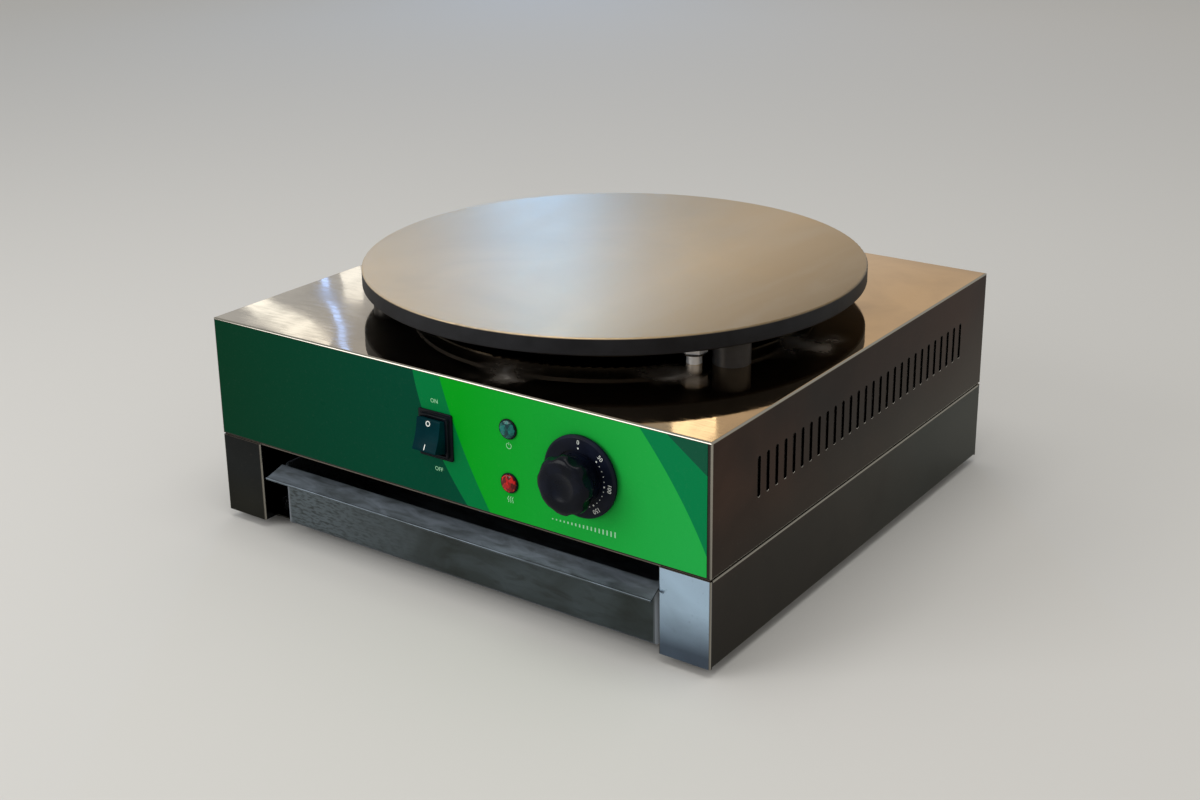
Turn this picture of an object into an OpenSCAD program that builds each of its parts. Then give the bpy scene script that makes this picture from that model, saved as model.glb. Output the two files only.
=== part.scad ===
// Electric crepe maker: a round cast griddle plate on three posts, over a folded steel housing
// with switch, lamps and thermostat, on an open-fronted lower frame with a pull-out drip drawer.
// Millimetres. +X is to the right, +Y to the rear, +Z up. The origin lies on the surface that it
// stands on, under the middle of its footprint.

/* [Body] */
// Width across the side panels
body_w = 454; // [440:1:470]
// Depth from front face to rear face
body_d = 434; // [424:1:450]
// Height of the lower frame without its feet
lower_h = 64.5; // [63:0.5:75]
// Height of the upper housing
housing_h = 97; // [94:1:112]
// Thickness of the stainless sheet
sheet_t = 1; // [0.8:0.1:1.2]
// Outer radius of the bends in the sheet
bend_r = 1.6; // [1.4:0.1:2.4]
// Width of the in-turned flanges
flange_w = 16; // [14:1:20]

/* [Vent slots] */
// Number of slots in each side of the housing
slot_count = 28; // [20:1:30]
// Distance from slot to slot
slot_pitch = 12; // [11:0.1:13]
// Width of a slot
slot_w = 4; // [3:0.5:5]
// Height of a slot
slot_h = 30; // [20:1:36]
// Height of the middle of the slots above the housing's lower edge
slot_mid_h = 52; // [46:1:58]
// How far the row of slots lies behind the middle of the body
slot_row_back = 5; // [0:1:8]

/* [Lower frame] */
// Width of a front leg
leg_w = 41; // [38:1:44]
// Depth of the return flange along a leg's inner edge
return_d = 9; // [6:1:12]
// Width of the bottom flange that the drawer slides on
ledge_w = 66; // [64:1:72]
// How far that flange is cut back behind the drawer's face
ledge_setback = 12; // [8:1:20]
// Height of the drawer guides
guide_h = 12; // [8:1:16]
// Width of the foot of a drawer guide
guide_w = 10; // [8:1:12]
// Distance of the guides from the front and the rear
guide_inset = 50; // [48:1:80]
// Height of the rubber feet
foot_h = 7; // [6:0.5:12]
// Diameter of the rubber feet
foot_d = 24; // [20:1:26]
// Distance of the feet from the sides of the body
foot_inset = 32; // [30:1:34]

/* [Drawer] */
// Gap between the drawer and the left leg
drawer_left_gap = 17.5; // [6:0.5:21]
// Height of the drawer
drawer_h = 49; // [42:0.5:50]
// Distance of the drawer's face behind the front of the legs
drawer_setback = 5; // [3:0.5:8]
// Gap between the drawer and the rear panel
drawer_back_gap = 8; // [5:1:20]
// Radius of the drawer's upright and lower corners
drawer_r = 8; // [5:0.5:12]
// Radius of the bend between the drawer's face and its floor
drawer_fold_r = 3; // [2:0.5:5]
// How far the lip stands out from the face
lip_out = 14; // [10:1:16]
// How far the lip droops
lip_drop = 8; // [4:0.5:10]
// How far the lip's left end flares out to the side
lip_flare = 4.5; // [0:0.5:5.5]
// Radius of the rolled edge of the lip
lip_roll_r = 1; // [0.8:0.1:1.4]
// Height of the hem inside the drawer's walls
hem_h = 8; // [5:1:12]
// Clearance under the drawer
slide_gap = 0.3; // [0.2:0.1:0.5]
// Clearance beside the drawer at the guide it lies against
side_play = 0.5; // [0.4:0.1:1]

/* [Griddle plate] */
// Diameter of the plate
plate_d = 400; // [390:1:410]
// Thickness of the plate
plate_t = 13.3; // [12:0.1:16]
// Radius of the plate's upper edge
plate_edge_r = 1.2; // [0.8:0.1:2]
// Height of the plate above the housing
plate_lift = 18.5; // [17:0.5:24]
// How far the plate's middle lies behind the middle of the body
plate_back = 3; // [0:0.5:5]
// Diameter of the plate's posts
post_d = 28; // [24:1:30]
// Distance of the posts' axes from the plate's edge
post_inset = 18.5; // [17:0.5:20]
// Turn of the first post from the right-hand side
post_turn = -28; // [-34:1:-22]
// Diameter of the plate's bolts
plate_bolt_d = 8; // [7:0.5:9]
// Depth of the bolt holes in the plate
plate_bolt_depth = 8; // [6:0.5:9]

/* [Heat pan] */
// Gap between the pan and the posts
pan_gap = 6.5; // [5:0.5:9]
// Gap between the pan and the housing's top
pan_lift = 2; // [1.5:0.5:3]
// Gap between the pan's rim and the plate
pan_rim_gap = 3; // [2:0.5:5]
// Thickness of the pan
pan_t = 0.8; // [0.6:0.1:1]
// Radius of the pan's lower edge
pan_r = 2.5; // [1.5:0.5:4]
// Diameter of the pan's studs
stud_d = 8; // [6:0.5:9]
// Width across flats of the pan's nuts
stud_nut_w = 17; // [15:0.5:19]
// Height of the pan's nuts
stud_nut_h = 8; // [6:0.5:9]
// Diameter of the spacers under the pan's ears
spacer_d = 11.5; // [11:0.5:14]
// How far the studs are turned from the posts
stud_turn = -8; // [-12:0.5:-8]

/* [Heating elements] */
// Diameter of the element tubes
element_d = 8; // [6.5:0.5:8]
// Radius of the outer loop
outer_loop_r = 130; // [122:1:136]
// Radius of the inner loop
inner_loop_r = 75; // [66:1:80]
// Radius of the bends down into the legs
element_bend_r = 12; // [10:1:14]
// Half the gap between the two legs of a loop
leg_gap_half = 15; // [13:1:20]
// Length of the legs below the housing's top
leg_drop = 22; // [18:1:28]
// Thickness of the bars that clamp the loops to the plate
clamp_t = 1.5; // [1.2:0.1:2]
// Width of the clamp bars
clamp_w = 18; // [16:1:22]
// Diameter of the clamp studs
clamp_stud_d = 5; // [4:0.5:6]
// Height of the clamp nuts
clamp_nut_h = 4; // [3:0.5:4.5]
// Gap between the clamp bars and the insulation pad
pad_gap = 1; // [0.5:0.1:2]
// Clearance of the pad's holes around the bent legs
pad_leg_clear = 3.2; // [3:0.1:4]

/* [Switch and lamps] */
// Distance of the switch to the left of the middle
switch_left = 2; // [0:0.5:8]
// Height of the switch's middle above the housing's lower edge
switch_h = 50.5; // [48:0.5:53]
// Width of the switch's bezel
bezel_w = 31; // [30:0.5:33]
// Height of the switch's bezel
bezel_h = 36; // [35:0.5:39]
// Thickness of the switch's bezel
bezel_t = 1.5; // [1.2:0.1:2]
// How far the collar round the rocker stands out from the bezel
collar_out = 2.5; // [2.2:0.1:3]
// Thickness of the walls of the switch's body
switch_wall = 2.2; // [2:0.1:2.4]
// Width of the bezel's rim over the body
bezel_rim = 2.2; // [1.8:0.1:2.6]
// Depth of the switch's body behind the panel
switch_depth = 24; // [20:1:30]
// Angle that the rocker lies at, to either side
rocker_tilt = 17; // [14:0.5:18]
// How far the middle of the rocker's face stands out from its pivot
rocker_out = 9.8; // [8:0.2:11]
// Diameter of the rocker's pivot pins
rocker_pin_d = 3; // [2.5:0.1:3.5]
// Radial clearance of the rocker's pins
pin_clear = 0.05; // [0.03:0.01:0.1]
// Clearance around the rocker
rocker_clear = 0.4; // [0.3:0.1:0.6]
// Distance of the lamps to the right of the middle
lamp_right = 63.4; // [60:0.2:66]
// Height of the green lamp above the housing's lower edge
green_lamp_h = 69.6; // [66:0.2:74]
// Height of the red lamp above the housing's lower edge
red_lamp_h = 29.2; // [26:0.2:34]
// Diameter of a lamp's ring
lamp_d = 15; // [14:0.2:17]
// Thickness of the wall of a lamp's body
lamp_wall = 1.1; // [0.8:0.1:1.4]
// Depth of a lamp's body behind the panel
lamp_depth = 26; // [20:1:32]

/* [Thermostat and knob] */
// Distance of the knob to the right of the middle
knob_right = 126; // [122:1:132]
// Height of the knob above the housing's lower edge
knob_h = 50.5; // [46:0.5:54]
// How far the knob stands out from the front of the body
knob_out = 26.5; // [24:0.5:30]
// Diameter of the dial skirt
dial_d = 59.5; // [54:0.5:62]
// Thickness of the dial skirt
dial_t = 3.4; // [3:0.1:4]
// Gap between the dial skirt and the front overlay
dial_gap = 1.6; // [1:0.1:2.4]
// Diameter of the grip at its foot
grip_foot_d = 35; // [33:0.5:37]
// Diameter of the grip at its widest
grip_d = 43; // [41:0.5:46]
// Number of finger flutes around the grip
flute_count = 8; // [6:1:10]
// Depth of a finger flute
flute_depth = 2.2; // [1:0.1:3]
// Diameter of the domed cap on the grip
cap_d = 28; // [24:0.5:30]
// How far the cap stands proud of the grip
cap_rise = 1.6; // [1:0.1:2.4]
// Diameter of the thermostat's shaft
shaft_d = 6; // [5:0.5:7]
// Radial clearance of the shaft in its bush
shaft_clear = 0.05; // [0.03:0.01:0.1]
// Diameter of the thermostat's bush
bush_d = 10; // [9:0.5:12]
// Distance between the thermostat's two screws
thermostat_screw_pitch = 28; // [26:1:32]
// Width of the thermostat's body
thermostat_w = 44; // [40:1:50]
// Height of the thermostat's body
thermostat_h = 36; // [32:1:44]
// Depth of the thermostat's body
thermostat_d = 26; // [22:1:32]
// Diameter of the sensing bulb
bulb_d = 6; // [5:0.5:7]
// Length of the sensing bulb
bulb_len = 70; // [60:1:76]
// Diameter of the capillary tube
capillary_d = 2; // [1.5:0.1:2.5]

/* [Front overlay] */
// Thickness of the printed overlay
overlay_t = 0.4; // [0.3:0.05:0.6]
// Bare steel to the left of the overlay
overlay_left = 2; // [1:0.5:4]
// Bare steel to the right of the overlay
overlay_right = 3.3; // [2:0.1:5]
// Bare steel under the overlay
overlay_below = 1.8; // [1.5:0.1:4]

/* [Rear and wiring] */
// Distance of the cable gland from the left side
gland_inset = 77; // [67:1:97]
// Height of the cable gland above the housing's lower edge
gland_h = 26; // [22:1:34]
// How far the cable gland stands out from the rear
gland_out = 24; // [20:1:30]
// Diameter of the gland's thread
gland_thread_d = 20; // [19:0.5:24]
// Diameter of the cable passage
cable_d = 9; // [7:0.5:11]
// Diameter of the wires inside the housing
wire_d = 3; // [2:0.25:3.5]

/* [Hidden] */
$fn = 48;
eps = 0.01;

// The body's planes
half_w = body_w / 2;
front_y = knob_out - (knob_out + body_d + gland_out) / 2;
rear_y = front_y + body_d;
mid_y = (front_y + rear_y) / 2;
plate_y = mid_y + plate_back;
panel_y = front_y - overlay_t;
frame_z = foot_h;
frame_top = frame_z + lower_h;
housing_z = frame_top + sheet_t;
top_z = housing_z + housing_h;
plate_z = top_z + plate_lift;
opening_half = half_w - leg_w;

// Fasteners
m4_d = 4;
m4_head_d = 8;
m4_head_h = 2.4;
m4_nut_w = 7;
m4_nut_h = 3.2;
m5_d = 5;
m5_head_d = 9.5;
m5_head_h = 2.5;
m5_nut_w = 8;
m5_nut_h = 4;
m4_core_d = m4_d - 0.2;
head_taper = 0.78;
thread_out = 1;
screw_out = 3;
hole_clear = 0.25;
seat_gap = 0.05;

// ---- shared shapes ----

// Extrude a y-z outline from x0 to x1
module along_x(x0, x1)
    translate([x0, 0, 0])
        rotate([90, 0, 90])
            linear_extrude(x1 - x0)
                children();

// Extrude an x-z outline from y0 to y1
module along_y(y0, y1)
    translate([0, y1, 0])
        rotate([90, 0, 0])
            linear_extrude(y1 - y0)
                children();

// Extrude an x-y outline from z0 to z1
module along_z(z0, z1)
    translate([0, 0, z0])
        linear_extrude(z1 - z0)
            children();

// A block between two opposite corners
module block(a, b)
    translate(a)
        cube(b - a);

// A cylinder that runs from y0 to y1
module rod_y(x, y0, y1, z, d)
    translate([x, y1, z])
        rotate([90, 0, 0])
            cylinder(d = d, h = y1 - y0);

// A cylinder that runs from z0 to z1
module rod_z(x, y, z0, z1, d)
    translate([x, y, z0])
        cylinder(d = d, h = z1 - z0);

// A rectangle between two corners, with round corners
module round_rect(a, b, r) {
    translate([a[0] + r, a[1]])
        square([b[0] - a[0] - 2 * r, b[1] - a[1]]);
    translate([a[0], a[1] + r])
        square([b[0] - a[0], b[1] - a[1] - 2 * r]);
    for (x = [a[0] + r, b[0] - r])
        for (y = [a[1] + r, b[1] - r])
            translate([x, y])
                circle(r);
}

// The section of a sheet folded round all four sides
module folded_ring(a, b, r, t)
    difference() {
        round_rect(a, b, r);
        round_rect([a[0] + t, a[1] + t], [b[0] - t, b[1] - t], r - t);
    }

// A block with rounded edges: rz on the upright edges, rx on those along X, ry on those along Y
module round_block(a, b, rx, ry, rz)
    intersection() {
        along_z(a[2], b[2])
            round_rect([a[0], a[1]], [b[0], b[1]], rz);
        along_y(a[1], b[1])
            round_rect([a[0], a[2]], [b[0], b[2]], ry);
        along_x(a[0], b[0])
            round_rect([a[1], a[2]], [b[1], b[2]], rx);
    }

// A hexagon by its width across flats
module hex(w)
    circle(d = w / cos(30), $fn = 6);

// A hex nut with its bore, from z0 to z1
module hex_nut(x, y, z0, z1, w, bore)
    translate([x, y, z0])
        linear_extrude(z1 - z0)
            difference() {
                hex(w);
                circle(d = bore);
            }

// A pan-head screw whose head lies below z, pointing up
module pan_screw_up(x, y, z, len, d, head_d, head_h)
    translate([x, y, z])
        union() {
            cylinder(d = d, h = len);
            translate([0, 0, -head_h])
                cylinder(d1 = head_d * head_taper, d2 = head_d, h = head_h);
        }

// Draw once on each side of the body's middle plane
module both_sides() {
    children();
    mirror([1, 0, 0])
        children();
}

// Draw three times round the plate's axis, from a starting angle and radius
module three_round(turn, r)
    for (i = [0:2])
        translate([0, plate_y, 0])
            rotate([0, 0, turn + i * 120])
                translate([r, 0, 0])
                    children();

// ---- lower frame ----

foot_x = half_w - foot_inset;
foot_ys = [front_y + foot_inset, rear_y - foot_inset];
foot_recess_h = 3.5;
foot_taper = 3;
recess_clear = 0.75;
frame_screw_x = half_w - flange_w / 2;
frame_screw_inset = 40;
frame_screw_ys = [front_y + frame_screw_inset, mid_y, rear_y - frame_screw_inset];
rear_screw_x = 90;
rear_screw_y = rear_y - 2 * sheet_t - flange_w / 2;
panel_screw_share = 0.3;
panel_screw_zs = [frame_z + lower_h * panel_screw_share, frame_top - lower_h * panel_screw_share];
panel_fit = 0.4;
corner_lap = 1;

// One wall with its top flange and the ledge that the drawer slides on, as an x-z section
module side_section()
    difference() {
        folded_ring([half_w - 2 * ledge_w, frame_z], [half_w, frame_top], bend_r, sheet_t);
        translate([half_w - 2 * ledge_w - 1, frame_z - 1])
            square([ledge_w + 1, lower_h + 2]);
        translate([half_w - ledge_w - 1, frame_top - bend_r])
            square([ledge_w - flange_w + 1, bend_r + 1]);
    }

// The front leg with its return, as an x-y outline
module leg_outline()
    difference() {
        folded_ring([opening_half, front_y], [half_w, rear_y], bend_r, sheet_t);
        translate([opening_half - 1, front_y + return_d])
            square([leg_w - bend_r + 1, body_d]);
        translate([half_w - bend_r - 1, front_y + bend_r + corner_lap])
            square([bend_r + 2, body_d]);
    }

// The rear corner flange, as an x-y outline
module rear_flange_outline()
    difference() {
        folded_ring([opening_half, front_y], [half_w, rear_y], bend_r, sheet_t);
        translate([opening_half - 1, front_y - 1])
            square([leg_w + 2, body_d + 1 - bend_r - corner_lap]);
        translate([opening_half - 1, front_y])
            square([leg_w - flange_w + 1, body_d + 1]);
    }

module side_panel()
    difference() {
        union() {
            along_y(front_y + bend_r, rear_y - bend_r)
                side_section();
            along_z(frame_z, frame_top)
                leg_outline();
            along_z(frame_z, frame_top)
                rear_flange_outline();
        }
        block([half_w - ledge_w - 1, front_y - 1, frame_z - 1],
              [opening_half, front_y + ledge_setback, frame_z + sheet_t + 1]);
        for (y = foot_ys)
            rod_z(foot_x, y, frame_z - 1, frame_z + sheet_t + 1, m5_d + 2 * hole_clear);
        for (y = frame_screw_ys)
            rod_z(frame_screw_x, y, frame_top - sheet_t - 1, frame_top + 1, m4_d + 2 * hole_clear);
        for (z = panel_screw_zs)
            rod_y(frame_screw_x, rear_y - sheet_t - 1, rear_y + 1, z, m4_d + 2 * hole_clear);
    }

module right_side_panel()
    color("silver")
        side_panel();

module left_side_panel()
    color("silver")
        mirror([1, 0, 0])
            side_panel();

// The sheet that closes the lower frame behind the drawer, inside the corner flanges
module rear_panel()
    color("silver")
        difference() {
            union() {
                block([-half_w + sheet_t + panel_fit, rear_y - 2 * sheet_t, frame_z + sheet_t],
                      [half_w - sheet_t - panel_fit, rear_y - sheet_t, frame_top - sheet_t]);
                block([-half_w + flange_w + panel_fit, rear_y - 2 * sheet_t - flange_w,
                       frame_top - sheet_t],
                      [half_w - flange_w - panel_fit, rear_y - sheet_t, frame_top]);
                block([-half_w + ledge_w + panel_fit, rear_y - 2 * sheet_t - flange_w, frame_z],
                      [half_w - ledge_w - panel_fit, rear_y - sheet_t, frame_z + sheet_t]);
            }
            for (s = [-1, 1]) {
                rod_z(s * rear_screw_x, rear_screw_y, frame_top - sheet_t - 1, frame_top + 1,
                      m4_d + 2 * hole_clear);
                for (z = panel_screw_zs)
                    rod_y(s * frame_screw_x, rear_y - 2 * sheet_t - 1, rear_y, z, m4_core_d);
            }
        }

module rear_panel_screws()
    color("gainsboro")
        both_sides()
            for (z = panel_screw_zs)
                translate([frame_screw_x, rear_y, z])
                    rotate([90, 0, 0])
                        pan_screw_up(0, 0, 0, 2 * sheet_t + screw_out, m4_core_d, m4_head_d, m4_head_h);

module drawer_guides()
    color("silver")
        both_sides() {
            block([opening_half, front_y + guide_inset, frame_z + sheet_t],
                  [opening_half + sheet_t, rear_y - guide_inset, frame_z + sheet_t + guide_h]);
            block([opening_half, front_y + guide_inset, frame_z + sheet_t],
                  [opening_half + guide_w, rear_y - guide_inset, frame_z + 2 * sheet_t]);
        }

module each_foot()
    for (s = [-1, 1])
        for (y = foot_ys)
            translate([s * foot_x, y, 0])
                children();

module rubber_feet()
    color([0.09, 0.09, 0.09])
        each_foot()
            difference() {
                cylinder(d1 = foot_d - foot_taper, d2 = foot_d, h = foot_h);
                translate([0, 0, -1])
                    cylinder(d = m5_head_d + 2 * recess_clear, h = foot_recess_h + 1);
                translate([0, 0, foot_recess_h - eps])
                    cylinder(d = m5_d + 2 * hole_clear, h = foot_h);
            }

module foot_screws()
    color("gainsboro")
        each_foot()
            pan_screw_up(0, 0, foot_recess_h,
                         foot_h - foot_recess_h + sheet_t + m5_nut_h + thread_out,
                         m5_d, m5_head_d, m5_head_h);

module foot_nuts()
    color("gainsboro")
        each_foot()
            hex_nut(0, 0, frame_z + sheet_t, frame_z + sheet_t + m5_nut_h, m5_nut_w, m5_d);

// ---- drawer ----

drawer_x1 = opening_half - side_play;
drawer_x0 = -opening_half + drawer_left_gap;
drawer_y0 = front_y + drawer_setback;
drawer_y1 = rear_y - 2 * sheet_t - drawer_back_gap;
drawer_z0 = frame_z + sheet_t + slide_gap;
drawer_z1 = drawer_z0 + drawer_h;
lip_angle = atan2(lip_drop, lip_out);
lip_len = norm([lip_drop, lip_out]);

// The drooping lip, as a y-z section: it folds forward off the top of the face
module lip_section() {
    translate([drawer_y0 + sheet_t / 2, drawer_z1 - sheet_t / 2])
        circle(sheet_t / 2);
    translate([drawer_y0 + sheet_t / 2, drawer_z1 - sheet_t / 2])
        rotate(180 + lip_angle)
            translate([0, -sheet_t / 2])
                square([lip_len - lip_roll_r, sheet_t]);
    translate([drawer_y0 + sheet_t / 2, drawer_z1 - sheet_t / 2])
        rotate(180 + lip_angle)
            translate([lip_len - lip_roll_r, 0])
                circle(lip_roll_r);
}

module drip_drawer()
    color([0.55, 0.56, 0.56])
        union() {
            difference() {
                round_block([drawer_x0, drawer_y0, drawer_z0],
                            [drawer_x1, drawer_y1, drawer_z1 + 2 * drawer_r],
                            drawer_fold_r, drawer_r, drawer_r);
                round_block([drawer_x0 + sheet_t, drawer_y0 + sheet_t, drawer_z0 + sheet_t],
                            [drawer_x1 - sheet_t, drawer_y1 - sheet_t,
                             drawer_z1 + 2 * drawer_r + 5],
                            drawer_fold_r - sheet_t, drawer_r - sheet_t, drawer_r - sheet_t);
                block([drawer_x0 - 1, drawer_y0 - 1, drawer_z1],
                      [drawer_x1 + 1, drawer_y1 + 1, drawer_z1 + 3 * drawer_r + 6]);
            }
            for (x = [drawer_x0 + sheet_t - eps, drawer_x1 - 2 * sheet_t])
                block([x, drawer_y0 + drawer_r, drawer_z1 - hem_h],
                      [x + sheet_t + eps, drawer_y1 - drawer_r, drawer_z1]);
            block([drawer_x0 + drawer_r, drawer_y1 - 2 * sheet_t, drawer_z1 - hem_h],
                  [drawer_x1 - drawer_r, drawer_y1 - sheet_t + eps, drawer_z1]);
            difference() {
                along_x(drawer_x0 - lip_flare, drawer_x1)
                    lip_section();
                along_z(drawer_z1 - lip_drop - 2 * lip_roll_r, drawer_z1 + 1)
                    polygon([[drawer_x0, drawer_y0 + sheet_t + 1], [drawer_x0, drawer_y0],
                             [drawer_x0 - lip_flare, drawer_y0 - lip_out],
                             [drawer_x0 - lip_flare - 1, drawer_y0 - lip_out],
                             [drawer_x0 - lip_flare - 1, drawer_y0 + sheet_t + 1]]);
            }
        }

// ---- housing ----

nut_pan_gap = 0.5;
stud_r = plate_d / 2 - post_inset - post_d / 2 - pan_gap + stud_nut_w / cos(30) / 2 + nut_pan_gap;
post_r = plate_d / 2 - post_inset;
switch_x = -switch_left;
switch_z = housing_z + switch_h;
switch_body_w = bezel_w - 2 * bezel_rim;
switch_body_h = bezel_h - 2 * bezel_rim;
lamp_zs = [housing_z + green_lamp_h, housing_z + red_lamp_h];
lamp_rim = 1.2;
lamp_body_d = lamp_d - 2 * lamp_rim;
knob_z = housing_z + knob_h;
gland_x = -half_w + gland_inset;
gland_z = housing_z + gland_h;
through_clear = 1.5;
leg_hole_d = element_d + 2 * through_clear;
capillary_hole_d = capillary_d + 2 * through_clear;
capillary_bend_r = 8;
capillary_lead = 4;
capillary_x = bulb_len / 2 + capillary_bend_r + capillary_lead;
bulb_y = plate_y - (inner_loop_r + outer_loop_r) / 2;
floor_inset = 1.5;
louvre_count = 7;
louvre_pitch = 14;
louvre_w = 5;
louvre_len = 60;
louvre_x = 100;
louvre_back = 40;

// The angle by which a loop stops short of the rear on each side, and where its legs stand
function stop_angle(r) = asin((leg_gap_half + element_bend_r) / r);
function leg_x(r) = r * sin(stop_angle(r)) - element_bend_r * cos(stop_angle(r));
function leg_y(r) = plate_y + r * cos(stop_angle(r)) + element_bend_r * sin(stop_angle(r));

// Cylinders through everything that the four element legs pass
module leg_holes(z0, z1, d)
    for (s = [-1, 1])
        for (r = [outer_loop_r, inner_loop_r])
            rod_z(s * leg_x(r), leg_y(r), z0, z1, d);

module stadium(w, h) {
    translate([-w / 2, -(h - w) / 2])
        square([w, h - w]);
    for (s = [-1, 1])
        translate([0, s * (h - w) / 2])
            circle(d = w, $fn = 24);
}

// The cut-outs in the front, through the sheet and the overlay alike
module front_cutouts(y0, y1) {
    block([switch_x - switch_body_w / 2 - hole_clear, y0, switch_z - switch_body_h / 2 - hole_clear],
          [switch_x + switch_body_w / 2 + hole_clear, y1, switch_z + switch_body_h / 2 + hole_clear]);
    for (z = lamp_zs)
        rod_y(lamp_right, y0, y1, z, lamp_body_d + 2 * hole_clear);
    rod_y(knob_right, y0, y1, knob_z, bush_d + 2 * hole_clear);
    for (s = [-1, 1])
        rod_y(knob_right + s * thermostat_screw_pitch / 2, y0, y1, knob_z, m4_d + 2 * hole_clear);
}

module floor_screw_holes(z0, z1) {
    for (s = [-1, 1]) {
        for (y = frame_screw_ys)
            rod_z(s * frame_screw_x, y, z0, z1, m4_d + 2 * hole_clear);
        rod_z(s * rear_screw_x, rear_screw_y, z0, z1, m4_d + 2 * hole_clear);
    }
}

// One deep folded sheet: top, front, sides and rear, with an in-turned flange round its lower edge
module upper_housing()
    color("gainsboro")
        difference() {
            round_block([-half_w, front_y, housing_z], [half_w, rear_y, top_z],
                        bend_r, bend_r, bend_r);
            round_block([-half_w + sheet_t, front_y + sheet_t, housing_z + sheet_t],
                        [half_w - sheet_t, rear_y - sheet_t, top_z - sheet_t],
                        bend_r - sheet_t, bend_r - sheet_t, bend_r - sheet_t);
            block([-half_w + flange_w, front_y + flange_w, housing_z - 1],
                  [half_w - flange_w, rear_y - 2 * sheet_t - flange_w, housing_z + 2 * sheet_t]);
            along_x(-half_w - 1, half_w + 1)
                for (i = [0:slot_count - 1])
                    translate([mid_y + slot_row_back + (i - (slot_count - 1) / 2) * slot_pitch,
                               housing_z + slot_mid_h])
                        stadium(slot_w, slot_h);
            front_cutouts(front_y - 1, front_y + sheet_t + 1);
            floor_screw_holes(housing_z - 1, housing_z + sheet_t + 1);
            rod_y(gland_x, rear_y - sheet_t - 1, rear_y + 1, gland_z, gland_thread_d + 2 * hole_clear);
            three_round(post_turn, post_r)
                rod_z(0, 0, top_z - sheet_t - 1, top_z + 1, plate_bolt_d + 2 * hole_clear);
            three_round(post_turn + stud_turn, stud_r)
                rod_z(0, 0, top_z - sheet_t - 1, top_z + 1, stud_d + 2 * hole_clear);
            leg_holes(top_z - sheet_t - 1, top_z + 1, leg_hole_d);
            rod_z(capillary_x, bulb_y, top_z - sheet_t - 1, top_z + 1, capillary_hole_d);
        }

// The plate that closes the housing from below, with louvre slots that let air in
module housing_floor()
    color("silver")
        difference() {
            block([-half_w + floor_inset, front_y + floor_inset, frame_top],
                  [half_w - floor_inset, rear_y - floor_inset, housing_z]);
            floor_screw_holes(frame_top - 1, housing_z + 1);
            for (s = [-1, 1])
                for (i = [0:louvre_count - 1])
                    translate([s * louvre_x + (i - (louvre_count - 1) / 2) * louvre_pitch,
                               mid_y + louvre_back, frame_top - 1])
                        linear_extrude(sheet_t + 2)
                            stadium(louvre_w, louvre_len);
            for (s = [-1, 1])
                rod_z(block_x + s * block_screw_half, block_y, frame_top - 1, housing_z + 1,
                      m4_core_d);
            rod_z(earth_x, block_y, frame_top - 1, housing_z + 1, m5_d + 2 * hole_clear);
        }

module each_floor_screw() {
    for (s = [-1, 1]) {
        for (y = frame_screw_ys)
            translate([s * frame_screw_x, y, 0])
                children();
        translate([s * rear_screw_x, rear_screw_y, 0])
            children();
    }
}

module housing_screws()
    color("gainsboro")
        each_floor_screw()
            pan_screw_up(0, 0, frame_top - sheet_t, 3 * sheet_t + m4_nut_h + thread_out, m4_d,
                         m4_head_d, m4_head_h);

module housing_nuts()
    color("gainsboro")
        each_floor_screw()
            hex_nut(0, 0, housing_z + sheet_t, housing_z + sheet_t + m4_nut_h, m4_nut_w, m4_d);

module front_overlay()
    color([0.02, 0.5, 0.25])
        difference() {
            block([-half_w + overlay_left, panel_y, housing_z + overlay_below],
                  [half_w - overlay_right, front_y, top_z - bend_r]);
            front_cutouts(panel_y - 1, front_y + 1);
        }

// ---- griddle plate, posts and heat pan ----

plate_foot_r = 1;
washer_d = 22;
washer_t = 2;
bolt_head_w = 13;
bolt_head_h = 5.3;
pan_out_r = plate_d / 2 - post_inset - post_d / 2 - pan_gap;
pan_z = top_z + pan_lift;
pan_rim_z = plate_z - pan_rim_gap;
ear_t = 1.2;
ear_w = 20;
nut_plate_gap = 1.8;
ear_top = plate_z - nut_plate_gap - stud_nut_h;
low_nut_h = 6;
low_nut_w = stud_nut_w - 4;
pad_z = pan_z + pan_t;
element_z = plate_z - seat_gap - element_d / 2;
clamp_top = element_z - element_d / 2 - seat_gap;
pad_t = clamp_top - clamp_t - pad_gap - pad_z;
clamp_r = (inner_loop_r + outer_loop_r) / 2;
clamp_over = 10;
clamp_ends = [inner_loop_r - clamp_over, outer_loop_r + clamp_over];
clamp_hole_depth = 6;
clamp_count = 4;

module griddle_plate()
    color([0.28, 0.27, 0.26])
        difference() {
            translate([0, plate_y, plate_z])
                rotate_extrude($fn = 180)
                    difference() {
                        union() {
                            square([plate_d / 2 - plate_edge_r, plate_t]);
                            translate([0, plate_foot_r])
                                square([plate_d / 2, plate_t - plate_edge_r - plate_foot_r]);
                            translate([plate_d / 2 - plate_edge_r, plate_t - plate_edge_r])
                                circle(plate_edge_r);
                            polygon([[plate_d / 2 - plate_edge_r - 1, 0],
                                     [plate_d / 2 - plate_foot_r, 0],
                                     [plate_d / 2, plate_foot_r],
                                     [plate_d / 2 - plate_edge_r - 1, plate_foot_r]]);
                        }
                        translate([-1, 0])
                            square([1, plate_t]);
                    }
            three_round(post_turn, post_r)
                rod_z(0, 0, plate_z - 1, plate_z + plate_bolt_depth + 1, plate_bolt_d);
            each_clamp()
                rod_z(clamp_r, 0, plate_z - 1, plate_z + clamp_hole_depth, clamp_stud_d);
        }

module plate_posts()
    color("dimgray")
        three_round(post_turn, post_r)
            difference() {
                rod_z(0, 0, top_z, plate_z, post_d);
                rod_z(0, 0, top_z - 1, plate_z + 1, plate_bolt_d + 2 * hole_clear);
            }

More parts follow.
